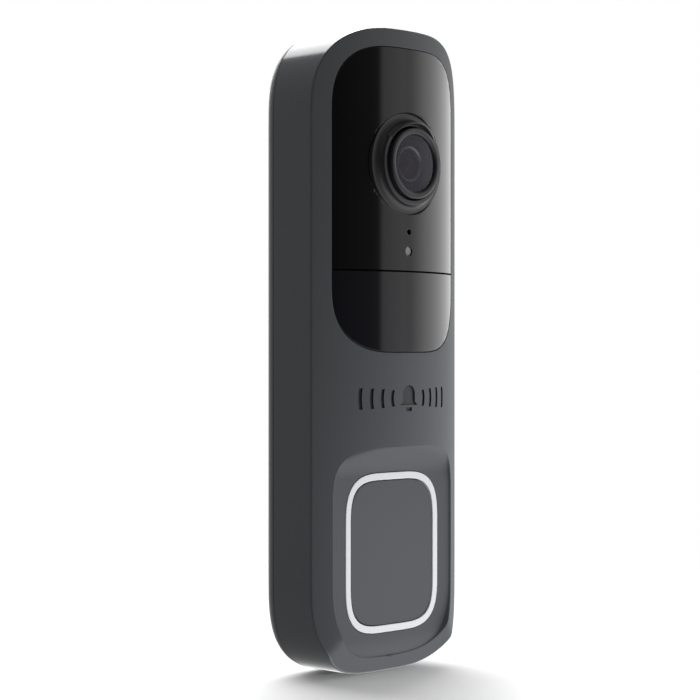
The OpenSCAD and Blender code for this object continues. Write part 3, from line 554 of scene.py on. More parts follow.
def palette(slot):
    """The material of each slot of the record."""
    makers = {
        "housing_grey": lambda n: moulded(n, (0.128, 0.135, 0.145), 0.37, grain=3200.0, depth=0.1),
        "housing_side": lambda n: moulded(n, (0.128, 0.135, 0.145), 0.15, 0.01, 3200.0, 0.02),
        "mark_dark": lambda n: moulded(n, (0.030, 0.032, 0.035), 0.45, grain=3200.0, depth=0.1),
        "lens_coat": lambda n: moulded(n, (0.010, 0.009, 0.016), 0.30, 0.02, 300.0, 0.0, 0.1, ior=1.6),
        "rear_grey": lambda n: moulded(n, (0.135, 0.142, 0.152), 0.36, grain=3000.0, depth=0.06),
        "plate_grey": lambda n: moulded(n, (0.12, 0.125, 0.132), 0.55, depth=0.25),
        "window_black": lambda n: window_black(n, (0.004, 0.004, 0.0045), 0.08),
        "motion_window_black": lambda n: window_black(n, (0.010, 0.010, 0.011), 0.13),
        "bezel_black": lambda n: moulded(n, (0.010, 0.010, 0.011), 0.24, 0.02, depth=0.008, vary=0.1),
        "lens_ring_grey": lambda n: moulded(n, (0.026, 0.027, 0.029), 0.42, depth=0.02, vary=0.1),
        "lens_glass": lambda n: glassy(n, (0.86, 0.82, 1.0), (0.95, 0.94, 0.98)),
        "lens_black": lambda n: moulded(n, (0.022, 0.020, 0.028), 0.30, 0.03, depth=0.0, vary=0.1),
        "bright_metal": lambda n: moulded(n, (0.60, 0.60, 0.61), 0.34, 0.05, 900.0, 0.03, 0.1, 0.6,
                                          stretch=(1, 1, 6)),
        "button_grey": lambda n: moulded(n, (0.150, 0.156, 0.168), 0.48, grain=3200.0, depth=0.1),
        "ring_white": lambda n: glowing(n, (1.0, 1.0, 1.0), 2.2),
        "led_yellow": lambda n: glowing(n, (1.0, 0.82, 0.25), 0.5),
        "board_green": board,
        "chip_black": lambda n: moulded(n, (0.015, 0.015, 0.016), 0.45, vary=0.2),
        "connector_white": lambda n: moulded(n, (0.72, 0.70, 0.66), 0.4, vary=0.04),
        "rubber_black": lambda n: moulded(n, (0.018, 0.018, 0.018), 0.75, depth=0.3, vary=0.15),
        "silicone_grey": lambda n: moulded(n, (0.30, 0.31, 0.32), 0.6, depth=0.1),
        "copper_film": lambda n: moulded(n, (0.55, 0.27, 0.10), 0.35, 0.05, 700.0, 0.05, 0.15, 0.8,
                                         stretch=(8, 1, 1)),
        "battery_wrap": lambda n: moulded(n, (0.04, 0.12, 0.30), 0.3, 0.05, 500.0, 0.05, 0.1),
        "wire_red": lambda n: moulded(n, (0.45, 0.02, 0.02), 0.4, 0.05, 1500.0, 0.1, 0.08),
        "clear_plastic": lambda n: glassy(n, (0.9, 0.9, 0.9), (0.85, 0.87, 0.9), 0.08),
    }
    return makers[slot](slot)


# ---------------------------------------------------------------- settings


class FormSettings(bpy.types.PropertyGroup):
    """Edge sizes of the shown pieces."""

    edge: bpy.props.FloatProperty(
        name="Front edge", description="Radius of the edge between the side and the front",
        default=0.00032, min=0.0001, max=0.0008, precision=5, unit="LENGTH",
    )
    lip: bpy.props.FloatProperty(
        name="Fine edge", description="Radius of the edges of the openings",
        default=0.00014, min=0.00005, max=0.0003, precision=5, unit="LENGTH",
    )
    rim: bpy.props.FloatProperty(
        name="Rear rim", description="Radius of the rear housing's rim",
        default=0.0025, min=0.001, max=0.0031, precision=5, unit="LENGTH",
    )
    bevel: bpy.props.FloatProperty(
        name="Small bevel", description="Bevel of the small parts on the wall side",
        default=0.00015, min=0.0, max=0.0005, precision=5, unit="LENGTH",
    )


class StageSettings(bpy.types.PropertyGroup):
    """Camera and light."""

    lens: bpy.props.FloatProperty(
        name="Lens", description="Focal length of the camera", default=102.65, min=20, max=300,
        unit="CAMERA",
    )
    light: bpy.props.FloatProperty(
        name="Light", description="Strength of the studio light", default=1.0, min=0, max=10,
        subtype="FACTOR",
    )


# ---------------------------------------------------------------- pieces


def rounded_steps(n=4):
    """Pairs from (1, 0) to (0, 1) round a quarter circle, as shares of the radius left to go."""
    return [
        (1 - math.sin(math.pi / 2 * i / n), 1 - math.cos(math.pi / 2 * i / n)) for i in range(n + 1)
    ]


def body_outline(inset=0.0):
    return offset(
        outline(BODY_W, BODY_H / 2, -BODY_H / 2, CORNER_R, CORNER_R, CORNER_POWER, 66, 4), inset
    )


def window_outline():
    return outline(WINDOW_W, WINDOW_TOP, WINDOW_BOTTOM, WINDOW_R, WINDOW_R, CORNER_POWER, 20, 6)


def dish_outline():
    return outline(DISH_W, DISH_TOP, DISH_BOTTOM, DISH_R_TOP, DISH_R_BOTTOM, DISH_POWER, 14, 10)


def ring_outline(inset=0.0):
    top, bottom = BUTTON_Z + RING_H / 2, BUTTON_Z - RING_H / 2
    return offset(outline(RING_W, top, bottom, RING_R, RING_R, RING_POWER, 10, 6), inset)


def mark_outlines():
    """The bell, its clapper and the sound waves on both sides."""
    r, half_stroke, steps = BELL_R, MARK_STROKE / 2, 10
    dome = [
        (r * math.cos(math.pi * i / 20), MARK_H / 2 - r + r * math.sin(math.pi * i / 20))
        for i in range(21)
    ]
    skirt = [(r, -0.6), (r + 0.25, -1.0), (r + 0.9, -1.5)]
    bell = dome + [(-x, z) for x, z in skirt] + skirt[::-1]
    foot, tip = -MARK_H / 2, -MARK_H / 2 + MARK_STROKE
    clapper = [(-0.9, foot), (0.9, foot), (0.9, tip), (-0.9, tip)]
    shapes = [bell, clapper]
    for radius in MARK_WAVES:
        half = MARK_H * radius / (radius + 3) / 2
        wave = []
        for r, turn in ((radius + half_stroke, 1), (radius - half_stroke, -1)):
            reach = math.asin(half / r) * turn
            wave += [
                (r * math.cos(a), r * math.sin(a))
                for a in (reach * (2 * i / steps - 1) for i in range(steps + 1))
            ]
        shapes.append(wave)
        shapes.append([(-x, z) for x, z in reversed(wave)])
    return [[(x, z + MARK_Z) for x, z in shape] for shape in shapes]


class DOORBELL_OT_front_housing(bpy.types.Operator):
    """Builds the front housing: bowed front, chin, dish, openings and sunk mark."""

    bl_idname = "doorbell.front_housing"
    bl_label = "Front housing"

    def execute(self, context):
        form = context.scene.doorbell_form
        edge_r, lip = form.edge / MM, form.lip / MM
        bm = new_mesh()
        seam = loop(bm, lay(body_outline(WALL), SEAM_Y))
        edge = seam
        for a, b in rounded_steps(3):
            edge = grow(bm, edge, lay(body_outline(lip * a), SEAM_Y - lip * b))
        before = set(bm.faces)
        edge = grow(bm, edge, lay(body_outline(0), lambda x, z: front(x, z) + edge_r))
        for face in set(bm.faces) - before:
            face.material_index = 1
        for a, b in rounded_steps(4)[1:]:
            edge = grow(
                bm, edge, lay(body_outline(edge_r * b), lambda x, z: front(x, z) + edge_r * a)
            )
        window = loop(bm, lay(offset(window_outline(), -lip), front))
        dished = loop(bm, lay(offset(dish_outline(), -lip), front))
        rows = span(-70, -15, 1.0) + [-49.5 + 1.5 * i for i in range(24, 67)]
        face = ([edge, window, dished], front, span(-22.05, 22.05, 0.9), rows)

        # opening of the windows, with its ledge
        for a, b in rounded_steps(3)[1:]:
            window = grow(
                bm, window,
                lay(offset(window_outline(), -lip * a), lambda x, z: front(x, z) + lip * b),
            )
        window = grow(bm, window, lay(window_outline(), lambda x, z: front(x, z) + 1.6))
        window = grow(bm, window, lay(offset(window_outline(), 1.9), lambda x, z: front(x, z) + 1.6))
        window = grow(bm, window, lay(offset(window_outline(), 1.9), lambda x, z: front(x, z) + WALL))

        # dish and opening of the lit ring
        def fall(share, inset):
            return lay(
                offset(dish_outline(), inset),
                lambda x, z: front(x, z) + (dish(x, z) - front(x, z)) * share,
            )

        for share, inset in (
            (0.03, -0.05), (0.15, 0.03), (0.5, 0.12), (0.85, 0.24), (0.97, 0.36), (1.0, 0.55),
        ):
            dished = grow(bm, dished, fall(share, inset))
        opening = ring_outline(-0.1)
        hole = loop(bm, lay(offset(opening, -lip), dish))
        bowl = ([dished, hole], dish, span(-18.0, 18.0, 0.8), span(-66.4, -20.6, 0.5))
        for a, b in rounded_steps(3)[1:]:
            hole = grow(bm, hole, lay(offset(opening, -lip * a), DISH_Y + lip * b))
        hole = grow(bm, hole, lay(opening, DISH_BACK_Y + 0.2))

        # inside
        inner = grow(bm, seam, lay(body_outline(WALL), lambda x, z: front(x, z) + WALL))
        tub_line = offset(dish_outline(), -0.7)
        tub = loop(bm, lay(tub_line, lambda x, z: front(x, z) + WALL))
        lining = ([inner, window, tub], lambda x, z: front(x, z) + WALL, span(-16.5, 16.5, 3))
        tub = grow(bm, tub, lay(tub_line, DISH_BACK_Y + 0.2))
        fill(bm, [tub, hole], DISH_BACK_Y + 0.2)
        for area in (face, bowl, lining):
            fill(bm, *area)

        paints = [palette("housing_grey"), palette("housing_side"), palette("mark_dark")]
        made = piece("shell_front", bm, "doorbell", ["front_housing"], paints)
        slot = new_mesh()
        ends = [
            (side * 10.8 + 2.2 * math.sin(side * a), 2.2 * math.cos(a) * side)
            for side in (1, -1)
            for a in (math.pi * i / 16 for i in range(17))
        ]
        low = loop(slot, [Vector((x, -7.4 + y, -72)) for x, y in ends])
        high = grow(slot, low, [Vector((x, -7.4 + y, -64.5)) for x, y in ends])
        fill(slot, [low])
        fill(slot, [high])
        for shape in mark_outlines():
            outside = loop(slot, lay(shape, FRONT_Y - 4))
            floor = grow(slot, outside, lay(shape, lambda x, z: front(x, z) + MARK_DEPTH))
            fill(slot, [outside])
            fill(slot, [floor], lambda x, z: front(x, z) + MARK_DEPTH, span(-13.5, 13.5, 0.9))
        for face in slot.faces:
            face.material_index = 2 if face.calc_center_median().z > -50 else 0
        carve(made, slot)
        return {"FINISHED"}


class DOORBELL_OT_rear_housing(bpy.types.Operator):
    """Builds the rear housing: rounded rim, pocket for the wall plate, wells and holes."""

    bl_idname = "doorbell.rear_housing"
    bl_label = "Rear housing"

    def execute(self, context):
        form = context.scene.doorbell_form
        rim_r, lip = form.rim / MM, form.lip / MM
        bm = new_mesh()
        pocket_line = outline(
            POCKET_W, POCKET_TOP, POCKET_BOTTOM, POCKET_R, POCKET_R, CORNER_POWER, 12, 4
        )
        inner = loop(bm, lay(body_outline(WALL + REAR_LAP), SEAM_Y - 0.2))
        edge = grow(bm, inner, lay(body_outline(WALL), SEAM_Y))
        for a, b in rounded_steps(3):
            edge = grow(bm, edge, lay(body_outline(lip * a), SEAM_Y + lip * b))
        for a, b in rounded_steps(12)[1:]:
            edge = grow(
                bm, edge,
                lay(body_outline(rim_r * b), BACK_Y - (BACK_Y - SEAM_Y - lip) * a),
            )
        pocket = loop(bm, lay(offset(pocket_line, -lip), BACK_Y))
        fill(bm, [edge, pocket], BACK_Y)
        for a, b in rounded_steps(3)[1:]:
            pocket = grow(bm, pocket, lay(offset(pocket_line, -lip * a), BACK_Y - lip * b))
        pocket = grow(bm, pocket, lay(pocket_line, POCKET_Y))
        fill(bm, [pocket])
        inner = grow(bm, inner, lay(body_outline(WALL + REAR_LAP), REAR_FLOOR_Y))
        fill(bm, [inner])
        made = piece("shell_rear", bm, "doorbell", ["rear_housing"], palette("rear_grey"))

        # screw wells, terminal block, tamper plunger and pairing button
        holes = new_mesh()
        for x in (-WELL_X, WELL_X):
            for z in (-WELL_Z, WELL_Z):
                well = mouth = loop(holes, lay(disc(WELL_R, x, z), HOLE_TOP_Y))
                for r, y in ((WELL_R, WELL_Y), (SCREW_HOLE_R, WELL_Y), (SCREW_HOLE_R, HOLE_END_Y)):
                    well = grow(holes, well, lay(disc(r, x, z), y))
                fill(holes, [mouth])
                fill(holes, [well])
        block = outline(20.2, 28.6, 19.4, 0.4, 0.4, 2.0)
        plunger = disc(PLUNGER_HOLE_R, 0, SMALL_PARTS_Z)
        pairing = disc(PAIRING_HOLE_R, PAIRING_X, SMALL_PARTS_Z)
        for shape in (plunger, pairing, block):
            mouth = loop(holes, lay(shape, HOLE_TOP_Y))
            fill(holes, [mouth])
            fill(holes, [grow(holes, mouth, lay(shape, HOLE_END_Y))])
        carve(made, holes)
        return {"FINISHED"}


def window_half(name, node, slot, keep_top, holes, lip):
    """One of the two windows that follow the bow, with a fine rounded edge."""
    line = offset(window_outline(), SEAM_GAP)
    cut = SPLIT_Z + (SEAM_GAP / 2 if keep_top else -SEAM_GAP / 2)
    half = [p for p in line if (p[1] > cut + 0.2) == keep_top and abs(p[1] - cut) > 0.2]
    side = WINDOW_W / 2 - SEAM_GAP
    split = next(i for i in range(len(half)) if abs(half[i][0] - half[i - 1][0]) > side)
    half = half[split:] + half[:split]
    ends = [(-side, cut), (0, cut), (side, cut)]
    half += ends if keep_top else ends[::-1]
    r = min(lip, 0.12)

    def at(back):
        return lambda x, z: bow(x, 0.02 + back)

    bm = new_mesh()
    edge = loop(bm, lay(offset(half, r), at(0)))
    mouths = [loop(bm, lay(offset(disc(radius, 0, z, n), -r), at(0))) for radius, z, n in holes]
    low, high = (cut, WINDOW_TOP) if keep_top else (0, cut)
    face = [edge, *mouths]
    for a, b in rounded_steps(3)[1:]:
        edge = grow(bm, edge, lay(offset(half, r * a), at(r * b)))
        mouths = [
            grow(bm, mouth, lay(offset(disc(radius, 0, z, n), -r * a), at(r * b)))
            for mouth, (radius, z, n) in zip(mouths, holes)
        ]
    edge = grow(bm, edge, lay(half, at(WINDOW_T)))
    tails = [
        grow(bm, mouth, lay(disc(radius, 0, z, n), at(WINDOW_T)))
        for mouth, (radius, z, n) in zip(mouths, holes)
    ]
    fill(bm, face, at(0), span(-18.3, 18.3, 0.6), span(low, high, 2.0)[1:-1])
    fill(bm, [edge, *tails], at(WINDOW_T), span(-17.25, 17.25, 1.5))
    return piece(name, bm, "doorbell", [node], palette(slot))


class DOORBELL_OT_windows(bpy.types.Operator):
    """Builds the camera window and the motion window below it."""

    bl_idname = "doorbell.windows"
    bl_label = "Windows"

    def execute(self, context):
        lip = context.scene.doorbell_form.lip / MM
        holes = [(11.1, LENS_Z, 96), (0.6, MIC_Z, 32), (1.0, LIGHT_Z, 32)]
        window_half("window_camera", "camera_window", "window_black", True, holes, lip)
        window_half("window_motion", "pir_window", "motion_window_black", False, [], lip)
        return {"FINISHED"}


class DOORBELL_OT_lens_bezel(bpy.types.Operator):
    """Builds the bezel that rises from the window to the lens, with its hood."""

    bl_idname = "doorbell.lens_bezel"
    bl_label = "Lens bezel"

    def execute(self, context):
        bm = new_mesh()
        cone_y, lip_y, steps = FRONT_Y + 0.6, -24.2, 14
        flare = [
            (11 - 1.9 * (1 - (1 - s) ** 2), cone_y + (lip_y + 0.2 - cone_y) * s * s)
            for s in (i / steps for i in range(steps + 1))
        ]
        outer = [(9.1 - 0.2 * b, lip_y + 0.2 * a) for a, b in rounded_steps(4)[1:]]
        inner = [(8.2 - 0.2 * (1 - a), lip_y + 0.2 * b) for a, b in rounded_steps(4)]
        profile = [(8.0, -18.83), (12.4, -18.83), (12.4, -19.63), (11.0, -19.63)]
        profile += flare + outer + inner + [(8.0, -18.83)]
        turned(bm, profile, LENS_Z)

        # hood, deepest at its middle, in line with the flare
        half, drop, flat_y = 7.0, 1.4, -23.9
        r = (half * half + drop * drop) / (2 * drop)
        hood = new_mesh()
        section = [
            (8.5, -23.6), (8.5, -25.45), (8.56, -25.55), (8.7, -25.59), (8.86, -25.56), (8.96, -25.45),
            (9.06, -25.0), (9.2, -24.5), (9.4, -24.0), (9.4, -23.6), (8.5, -23.6),
        ]
        reach = math.asin(half / 8.7)
        turned(hood, section, LENS_Z, 56, 2 * reach, math.pi * 1.5 - reach)
        bmesh.ops.holes_fill(hood, edges=[e for e in hood.edges if e.is_boundary])
        for v in hood.verts:
            if v.co.y < flat_y:
                x = min(abs(v.co.x), half)
                sink = r - math.sqrt(r * r - x * x)
                v.co.y += sink * min((flat_y - v.co.y) / drop, 1)
        join(bm, hood)
        piece("bezel", bm, "doorbell", ["lens_bezel"], palette("bezel_black"), 40)
        return {"FINISHED"}


class DOORBELL_OT_lens_parts(bpy.types.Operator):
    """Builds the lens ring, the cover glass, the barrel, the bright ring and the front lens."""

    bl_idname = "doorbell.lens_parts"
    bl_label = "Lens parts"

    def execute(self, context):
        ring_y = -25.2
        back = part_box("lens_ring")[1][1] / MM
        bm = new_mesh()
        turned(bm, [
            (6.3, -23.9), (6.3, ring_y + 0.3), (6.33, ring_y + 0.24), (6.55, ring_y + 0.03), (6.62, ring_y),
            (7.42, ring_y), (7.5, ring_y + 0.03), (7.67, ring_y + 0.2), (7.7, ring_y + 0.28),
            (7.7, back), (5.65, back), (5.65, -23.9), (6.3, -23.9),
        ], LENS_Z)
        piece("ring_lens", bm, "doorbell", ["lens_ring"], palette("lens_ring_grey"), 40)

        def dome(rim, radius, front_y, steps=12):
            reach = math.asin(rim / radius)
            return [
                (radius * math.sin(a), front_y + radius * (1 - math.cos(a)))
                for a in (reach * i / steps for i in range(steps + 1))
            ]

        bm = new_mesh()
        turned(bm, dome(6.27, 34, -25.3) + [(6.27, -23.92), (0, -23.92)], LENS_Z)
        piece("glass_cover", bm, "doorbell", ["lens_cover"], palette("lens_glass"), 40)

        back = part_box("lens_barrel")[1][1] / MM
        bm = new_mesh()
        turned(bm, [
            (3.8, -23.05), (4.3, -23.5), (4.38, -23.55), (4.46, -23.5), (4.5, -23.35), (4.62, -23.35),
            (4.66, -23.5), (5.0, -23.72), (5.06, -23.6), (5.12, -23.6), (5.18, -23.74), (5.45, -23.78),
            (5.6, -23.7), (5.6, back), (2.6, back), (2.6, -19.8), (3.8, -19.8), (3.8, -23.05),
        ], LENS_Z)
        piece("barrel", bm, "doorbell", ["lens_barrel"], palette("lens_black"), 40)

        bm = new_mesh()
        turned(bm, [
            (3.35, -23.0), (3.4, -23.1), (3.7, -23.32), (3.78, -23.3), (3.78, -22.2), (3.35, -22.2),
            (3.35, -23.0),
        ], LENS_Z)
        piece(
            "ring_inner", bm, "doorbell", ["lens_inner_ring"], palette("bright_metal"), 40
        )

        bm = new_mesh()
        turned(bm, dome(3.3, 5, -22.9) + [(3.3, -21.75), (0, -21.75)], LENS_Z)
        core = new_mesh()
        bowl_r, bowl_y, bowl_steps = 1.25, -22.0, 10
        bowl = [
            (bowl_r * math.sin(a), bowl_y + bowl_r * math.cos(a))
            for a in (math.pi / 3 * i / bowl_steps for i in range(bowl_steps + 1))
        ]
        turned(core, bowl + [
            (1.3, -21.55), (1.6, -21.5), (1.7, -21.62), (2.1, -21.5), (2.2, -21.66), (2.8, -21.6),
            (3.3, -21.7), (3.3, -20.5), (0, -20.5),
        ], LENS_Z)
        for face in core.faces:
            face.material_index = 1
        join(bm, core)
        paints = [palette("lens_glass"), palette("lens_coat")]
        piece("glass_front", bm, "doorbell", ["front_lens"], paints, 40)
        return {"FINISHED"}


class DOORBELL_OT_light_ring(bpy.types.Operator):
    """Builds the lit ring round the button."""

    bl_idname = "doorbell.light_ring"
    bl_label = "Light ring"

    def execute(self, context):
        bm = new_mesh()
        r = 0.15
        outer = loop(bm, lay(ring_outline(r), RING_Y))
        inner = loop(bm, lay(ring_outline(RING_BAND - r), RING_Y))
        fill(bm, [outer, inner], RING_Y)
        for a, b in rounded_steps(3)[1:]:
            outer = grow(bm, outer, lay(ring_outline(r * a), RING_Y + r * b))
            inner = grow(bm, inner, lay(ring_outline(RING_BAND - r * a), RING_Y + r * b))
        for inset, y in ((0, RING_STEP_Y), (-RING_FLANGE, RING_STEP_Y), (-RING_FLANGE, RING_BACK_Y)):
            outer = grow(bm, outer, lay(ring_outline(inset), y))
        for inset, y in ((RING_BAND, RING_SEAT_Y), (RING_SEAT, RING_SEAT_Y), (RING_SEAT, RING_BACK_Y)):
            inner = grow(bm, inner, lay(ring_outline(inset), y))
        fill(bm, [outer, inner], RING_BACK_Y)
        piece("ring_lit", bm, "doorbell", ["light_ring"], palette("ring_white"))
        return {"FINISHED"}


class DOORBELL_OT_button_cap(bpy.types.Operator):
    """Builds the button's cap."""

    bl_idname = "doorbell.button_cap"
    bl_label = "Button cap"

    def execute(self, context):
        bm = new_mesh()
        top, bottom = BUTTON_Z + CAP_H / 2, BUTTON_Z - CAP_H / 2
        line = outline(CAP_W, top, bottom, CAP_R, CAP_R, RING_POWER, 10, 6)
        r = 0.22
        edge = loop(bm, lay(offset(line, r), CAP_Y))
        fill(bm, [edge], CAP_Y)
        for a, b in rounded_steps(4)[1:]:
            edge = grow(bm, edge, lay(offset(line, r * a), CAP_Y + r * b))
        edge = grow(bm, edge, lay(line, CAP_STEP_Y))
        for inset, y in (
            (-CAP_FLANGE, CAP_STEP_Y), (-CAP_FLANGE, CAP_BACK_Y),
            (CAP_WALL, CAP_BACK_Y), (CAP_WALL, CAP_FLOOR_Y),
        ):
            edge = grow(bm, edge, lay(offset(line, inset), y))
        fill(bm, [edge], CAP_FLOOR_Y)
        piece("cap", bm, "bell_button", ["button_cap"], palette("button_grey"))
        return {"FINISHED"}


def bevelled(node, name, body, slot, bevel):
    """A copy of a CAD node's mesh, merged, with fine bevels."""
    bm = new_mesh()
    bm.from_mesh(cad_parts[node].data)
    bmesh.ops.remove_doubles(bm, verts=bm.verts[:], dist=1e-6)
    bmesh.ops.dissolve_limit(
        bm, angle_limit=math.radians(1), use_dissolve_boundaries=False,
        verts=bm.verts[:], edges=bm.edges[:],
    )
    bmesh.ops.scale(bm, vec=(1 / MM, 1 / MM, 1 / MM), verts=bm.verts[:])
    made = piece(name, bm, body, [node], palette(slot), 30, False)
    mod = made.modifiers.new("bevel", "BEVEL")
    mod.width = bevel
    mod.segments = 2
    mod.limit_method = "ANGLE"
    mod.angle_limit = math.radians(40)
    even = made.modifiers.new("even_normals", "WEIGHTED_NORMAL")
    even.keep_sharp = True
    return made


class DOORBELL_OT_wall_side(bpy.types.Operator):
    """Gives the wall plate and the small parts on the wall side fine edges."""

    bl_idname = "doorbell.wall_side"
    bl_label = "Wall side"

    def execute(self, context):
        bevel = context.scene.doorbell_form.bevel
        for node, name, body, slot in (
            ("mounting_plate", "plate_wall", "wall_plate", "plate_grey"),
            ("housing_screws", "screws_housing", "doorbell", "bright_metal"),
            ("terminal_block", "block_terminal", "doorbell", "chip_black"),
            ("terminal_screws", "screws_terminal", "doorbell", "bright_metal"),
            ("tamper_plunger", "plunger", "tamper_plunger", "connector_white"),
            ("pairing_button", "button_pairing", "pairing_button", "silicone_grey"),
        ):
            bevelled(node, name, body, slot, bevel)
        return {"FINISHED"}


class DOORBELL_OT_inner_parts(bpy.types.Operator):
    """Gives every CAD part that is still shown its material."""

    bl_idname = "doorbell.inner_parts"
    bl_label = "Inner parts"

    def execute(self, context):
        count = 0
        for slot, names in INNER.items():
            for name in names.split():
                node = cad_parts[name]
                if node.hide_render:
                    continue
                node.data.materials.clear()
                node.data.materials.append(palette(slot))
                count += 1
        if not count:
            raise RuntimeError("no CAD part is left to paint")
        return {"FINISHED"}


class DOORBELL_OT_stage(bpy.types.Operator):
    """Builds the floor, the studio light and the camera."""

    bl_idname = "doorbell.stage"
    bl_label = "Stage"

    def execute(self, context):
        settings = context.scene.doorbell_stage
        scene = context.scene

        # camera at the height of the middle, turned to the left front
        data = bpy.data.cameras.new("camera")
        data.sensor_width = 36
        data.lens = settings.lens
        data.clip_start, data.clip_end = 0.01, 20
        camera = bpy.data.objects.new("camera", data)
        scene.collection.objects.link(camera)
        camera.location = (-0.3193, -0.3169, 0.00055)
        camera.rotation_mode = "QUATERNION"
        camera.rotation_quaternion = Vector((0.7154, 0.6987, 0)).to_track_quat("-Z", "Y")
        scene.camera = camera

        # small soft light in front of the chin, near the floor; it isn't seen or mirrored
        data = bpy.data.lights.new("chin_light", "AREA")
        data.size = 0.05
        data.energy = 0.03 * settings.light
        lamp = bpy.data.objects.new("chin_light", data)
        scene.collection.objects.link(lamp)
        lamp.location = (0.012, -0.085, -0.066)
        lamp.rotation_mode = "QUATERNION"
        lamp.rotation_quaternion = Vector((-0.012, 0.065, 0.012)).to_track_quat("-Z", "Y")
        lamp.visible_camera = False
        lamp.visible_glossy = False

        # floor that fades out; it takes the shadow, and doesn't light the doorbell or mirror in it
        floor_z, floor_r = -0.0702, 0.45
        bm = new_mesh()
        bmesh.ops.create_circle(bm, cap_ends=True, segments=96, radius=floor_r)
        for v in bm.verts:
            v.co.z = floor_z
        mesh = bpy.data.meshes.new("floor")
        bm.to_mesh(mesh)
        bm.free()
        floor = bpy.data.objects.new("floor", mesh)
        scene.collection.objects.link(floor)
        floor.visible_diffuse = False
        floor.visible_glossy = False
        made, tree = shader("floor_white")
        shade = tree.nodes["Principled BSDF"]
        shade.inputs["Roughness"].default_value = 0.9
        tree.links.new(
            ramp(tree, speckle(tree, 40.0), [(0.3, (0.88, 0.88, 0.88)), (0.7, (0.92, 0.92, 0.92))]),
            shade.inputs["Base Color"],
        )
        place = tree.nodes.new("ShaderNodeTexCoord")
        away = tree.nodes.new("ShaderNodeVectorMath")
        away.operation = "LENGTH"
        tree.links.new(place.outputs["Object"], away.inputs[0])
        fade = scaled(tree, away.outputs["Value"], 1.0, 0.0, 0.06, 0.26)
        tree.links.new(fade, shade.inputs["Alpha"])
        mesh.materials.append(made)

        # studio light by the angle round Z, 0 towards the front and 90 to the right: dark on the left,
        # bright from the right to the back. The camera sees plain white in its place.
        world = bpy.data.worlds.new("studio")
        scene.world = world
        world.use_nodes = True
        tree = world.node_tree
        glow = tree.nodes["Background"]
        place = tree.nodes.new("ShaderNodeTexCoord")
        split = tree.nodes.new("ShaderNodeSeparateXYZ")
        tree.links.new(place.outputs["Generated"], split.inputs["Vector"])
        forward = tree.nodes.new("ShaderNodeMath")
        forward.operation = "MULTIPLY"
        forward.inputs[1].default_value = -1.0
        tree.links.new(split.outputs["Y"], forward.inputs[0])
        turn = tree.nodes.new("ShaderNodeMath")
        turn.operation = "ARCTAN2"
        tree.links.new(split.outputs["X"], turn.inputs[0])
        tree.links.new(forward.outputs["Value"], turn.inputs[1])
        around = scaled(tree, turn.outputs["Value"], 0.0, 1.0, -math.pi, math.pi)
        levels = [
            (-180, 0.90), (-150, 0.50), (-125, 0.18), (-100, 0.12), (-75, 0.05), (-50, 0.02), (-8, 0.02),
            (18, 0.06), (23, 0.09), (25.5, 0.72), (43, 0.90), (45.5, 0.80), (49.5, 0.82),
            (54, 1.05), (62, 1.45), (75, 1.80), (100, 2.4), (125, 2.4), (140, 1.6), (180, 0.90),
        ]
        top = 2.5
        ring = ramp(tree, around, [((a + 180) / 360, (v / top,) * 3) for a, v in levels])
        above = scaled(tree, split.outputs["Z"], 0.0, 1.0, 0.35, 0.7)
        below = scaled(tree, split.outputs["Z"], 1.0, 0.0, -0.7, -0.25)

        ring = blend(tree, above, ring, (0.30 / top,) * 3)

        # light from below, in place of the floor's own bounce
        under = ramp(tree, around, [
            ((a + 180) / 360, (v / top,) * 3)
            for a, v in [
                (-180, 0.3), (-120, 0.08), (-60, 0.2), (-30, 1.5), (80, 1.5), (130, 0.4), (180, 0.3),
            ]
        ])
        ring = blend(tree, below, ring, under)

        # soft light above and behind, which lights the rounded top
        aim = tree.nodes.new("ShaderNodeVectorMath")
        aim.operation = "DOT_PRODUCT"
        aim.inputs[1].default_value = (0.383, 0.663, 0.643)
        tree.links.new(place.outputs["Generated"], aim.inputs[0])
        spot = scaled(tree, aim.outputs["Value"], 0.0, 1.0, 0.862, 0.874)
        ring = blend(tree, spot, ring, (6.0 / top,) * 3)
        tree.links.new(ring, glow.inputs["Color"])
        glow.inputs["Strength"].default_value = top * settings.light
        plain = tree.nodes.new("ShaderNodeBackground")
        plain.inputs["Color"].default_value = (1, 1, 1, 1)
        plain.inputs["Strength"].default_value = 1.0
        seen = tree.nodes.new("ShaderNodeLightPath")
        pick = tree.nodes.new("ShaderNodeMixShader")
        tree.links.new(seen.outputs["Is Camera Ray"], pick.inputs["Fac"])
        tree.links.new(glow.outputs["Background"], pick.inputs[1])
        tree.links.new(plain.outputs["Background"], pick.inputs[2])
        tree.links.new(pick.outputs["Shader"], tree.nodes["World Output"].inputs["Surface"])
        scene.view_settings.view_transform = "Standard"
        scene.view_settings.look = "None"
        return {"FINISHED"}


STEPS = (
    DOORBELL_OT_front_housing,
    DOORBELL_OT_rear_housing,
    DOORBELL_OT_windows,
    DOORBELL_OT_lens_bezel,
    DOORBELL_OT_lens_parts,
    DOORBELL_OT_light_ring,
    DOORBELL_OT_button_cap,
    DOORBELL_OT_wall_side,
    DOORBELL_OT_inner_parts,
    DOORBELL_OT_stage,
)


class DOORBELL_PT_panel(bpy.types.Panel):
    """Settings and steps of the doorbell."""

    bl_idname = "DOORBELL_PT_panel"
    bl_label = "Video doorbell"
    bl_space_type = "VIEW_3D"
    bl_region_type = "UI"
    bl_category = "Doorbell"

    def draw(self, context):
        for group in (context.scene.doorbell_form, context.scene.doorbell_stage):
            for name in group.__annotations__:
                self.layout.prop(group, name)
        for step in STEPS:
            self.layout.operator(step.bl_idname)


CLASSES = (FormSettings, StageSettings, *STEPS, DOORBELL_PT_panel)


def register():
    for cls in CLASSES:
        bpy.utils.register_class(cls)
    bpy.types.Scene.doorbell_form = bpy.props.PointerProperty(type=FormSettings)
    bpy.types.Scene.doorbell_stage = bpy.props.PointerProperty(type=StageSettings)


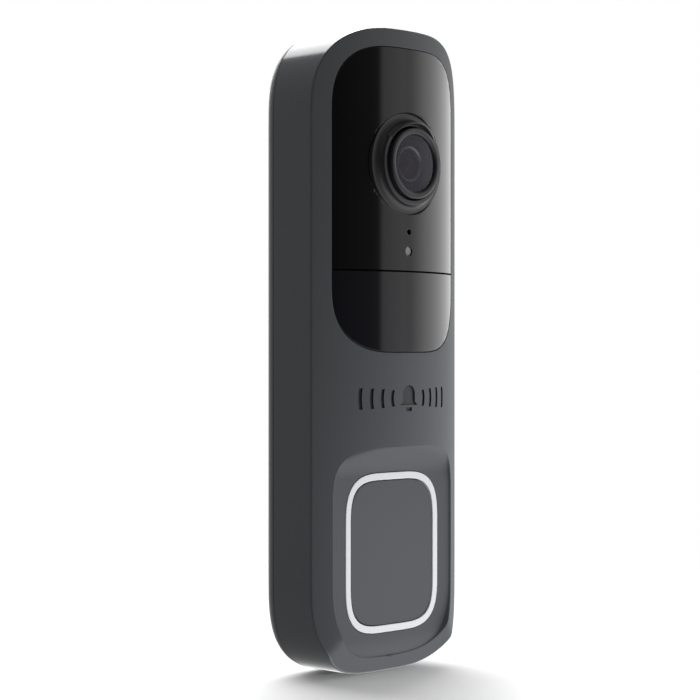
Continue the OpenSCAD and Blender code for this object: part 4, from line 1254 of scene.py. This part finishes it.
def unregister():
    del bpy.types.Scene.doorbell_stage
    del bpy.types.Scene.doorbell_form
    for cls in reversed(CLASSES):
        bpy.utils.unregister_class(cls)


def main():
    register()
    bpy.ops.doorbell.front_housing()
    bpy.ops.doorbell.rear_housing()
    bpy.ops.doorbell.windows()
    bpy.ops.doorbell.lens_bezel()
    bpy.ops.doorbell.lens_parts()
    bpy.ops.doorbell.light_ring()
    bpy.ops.doorbell.button_cap()
    bpy.ops.doorbell.wall_side()
    bpy.ops.doorbell.inner_parts()
    bpy.ops.doorbell.stage()


if __name__ == "__main__":
    main()
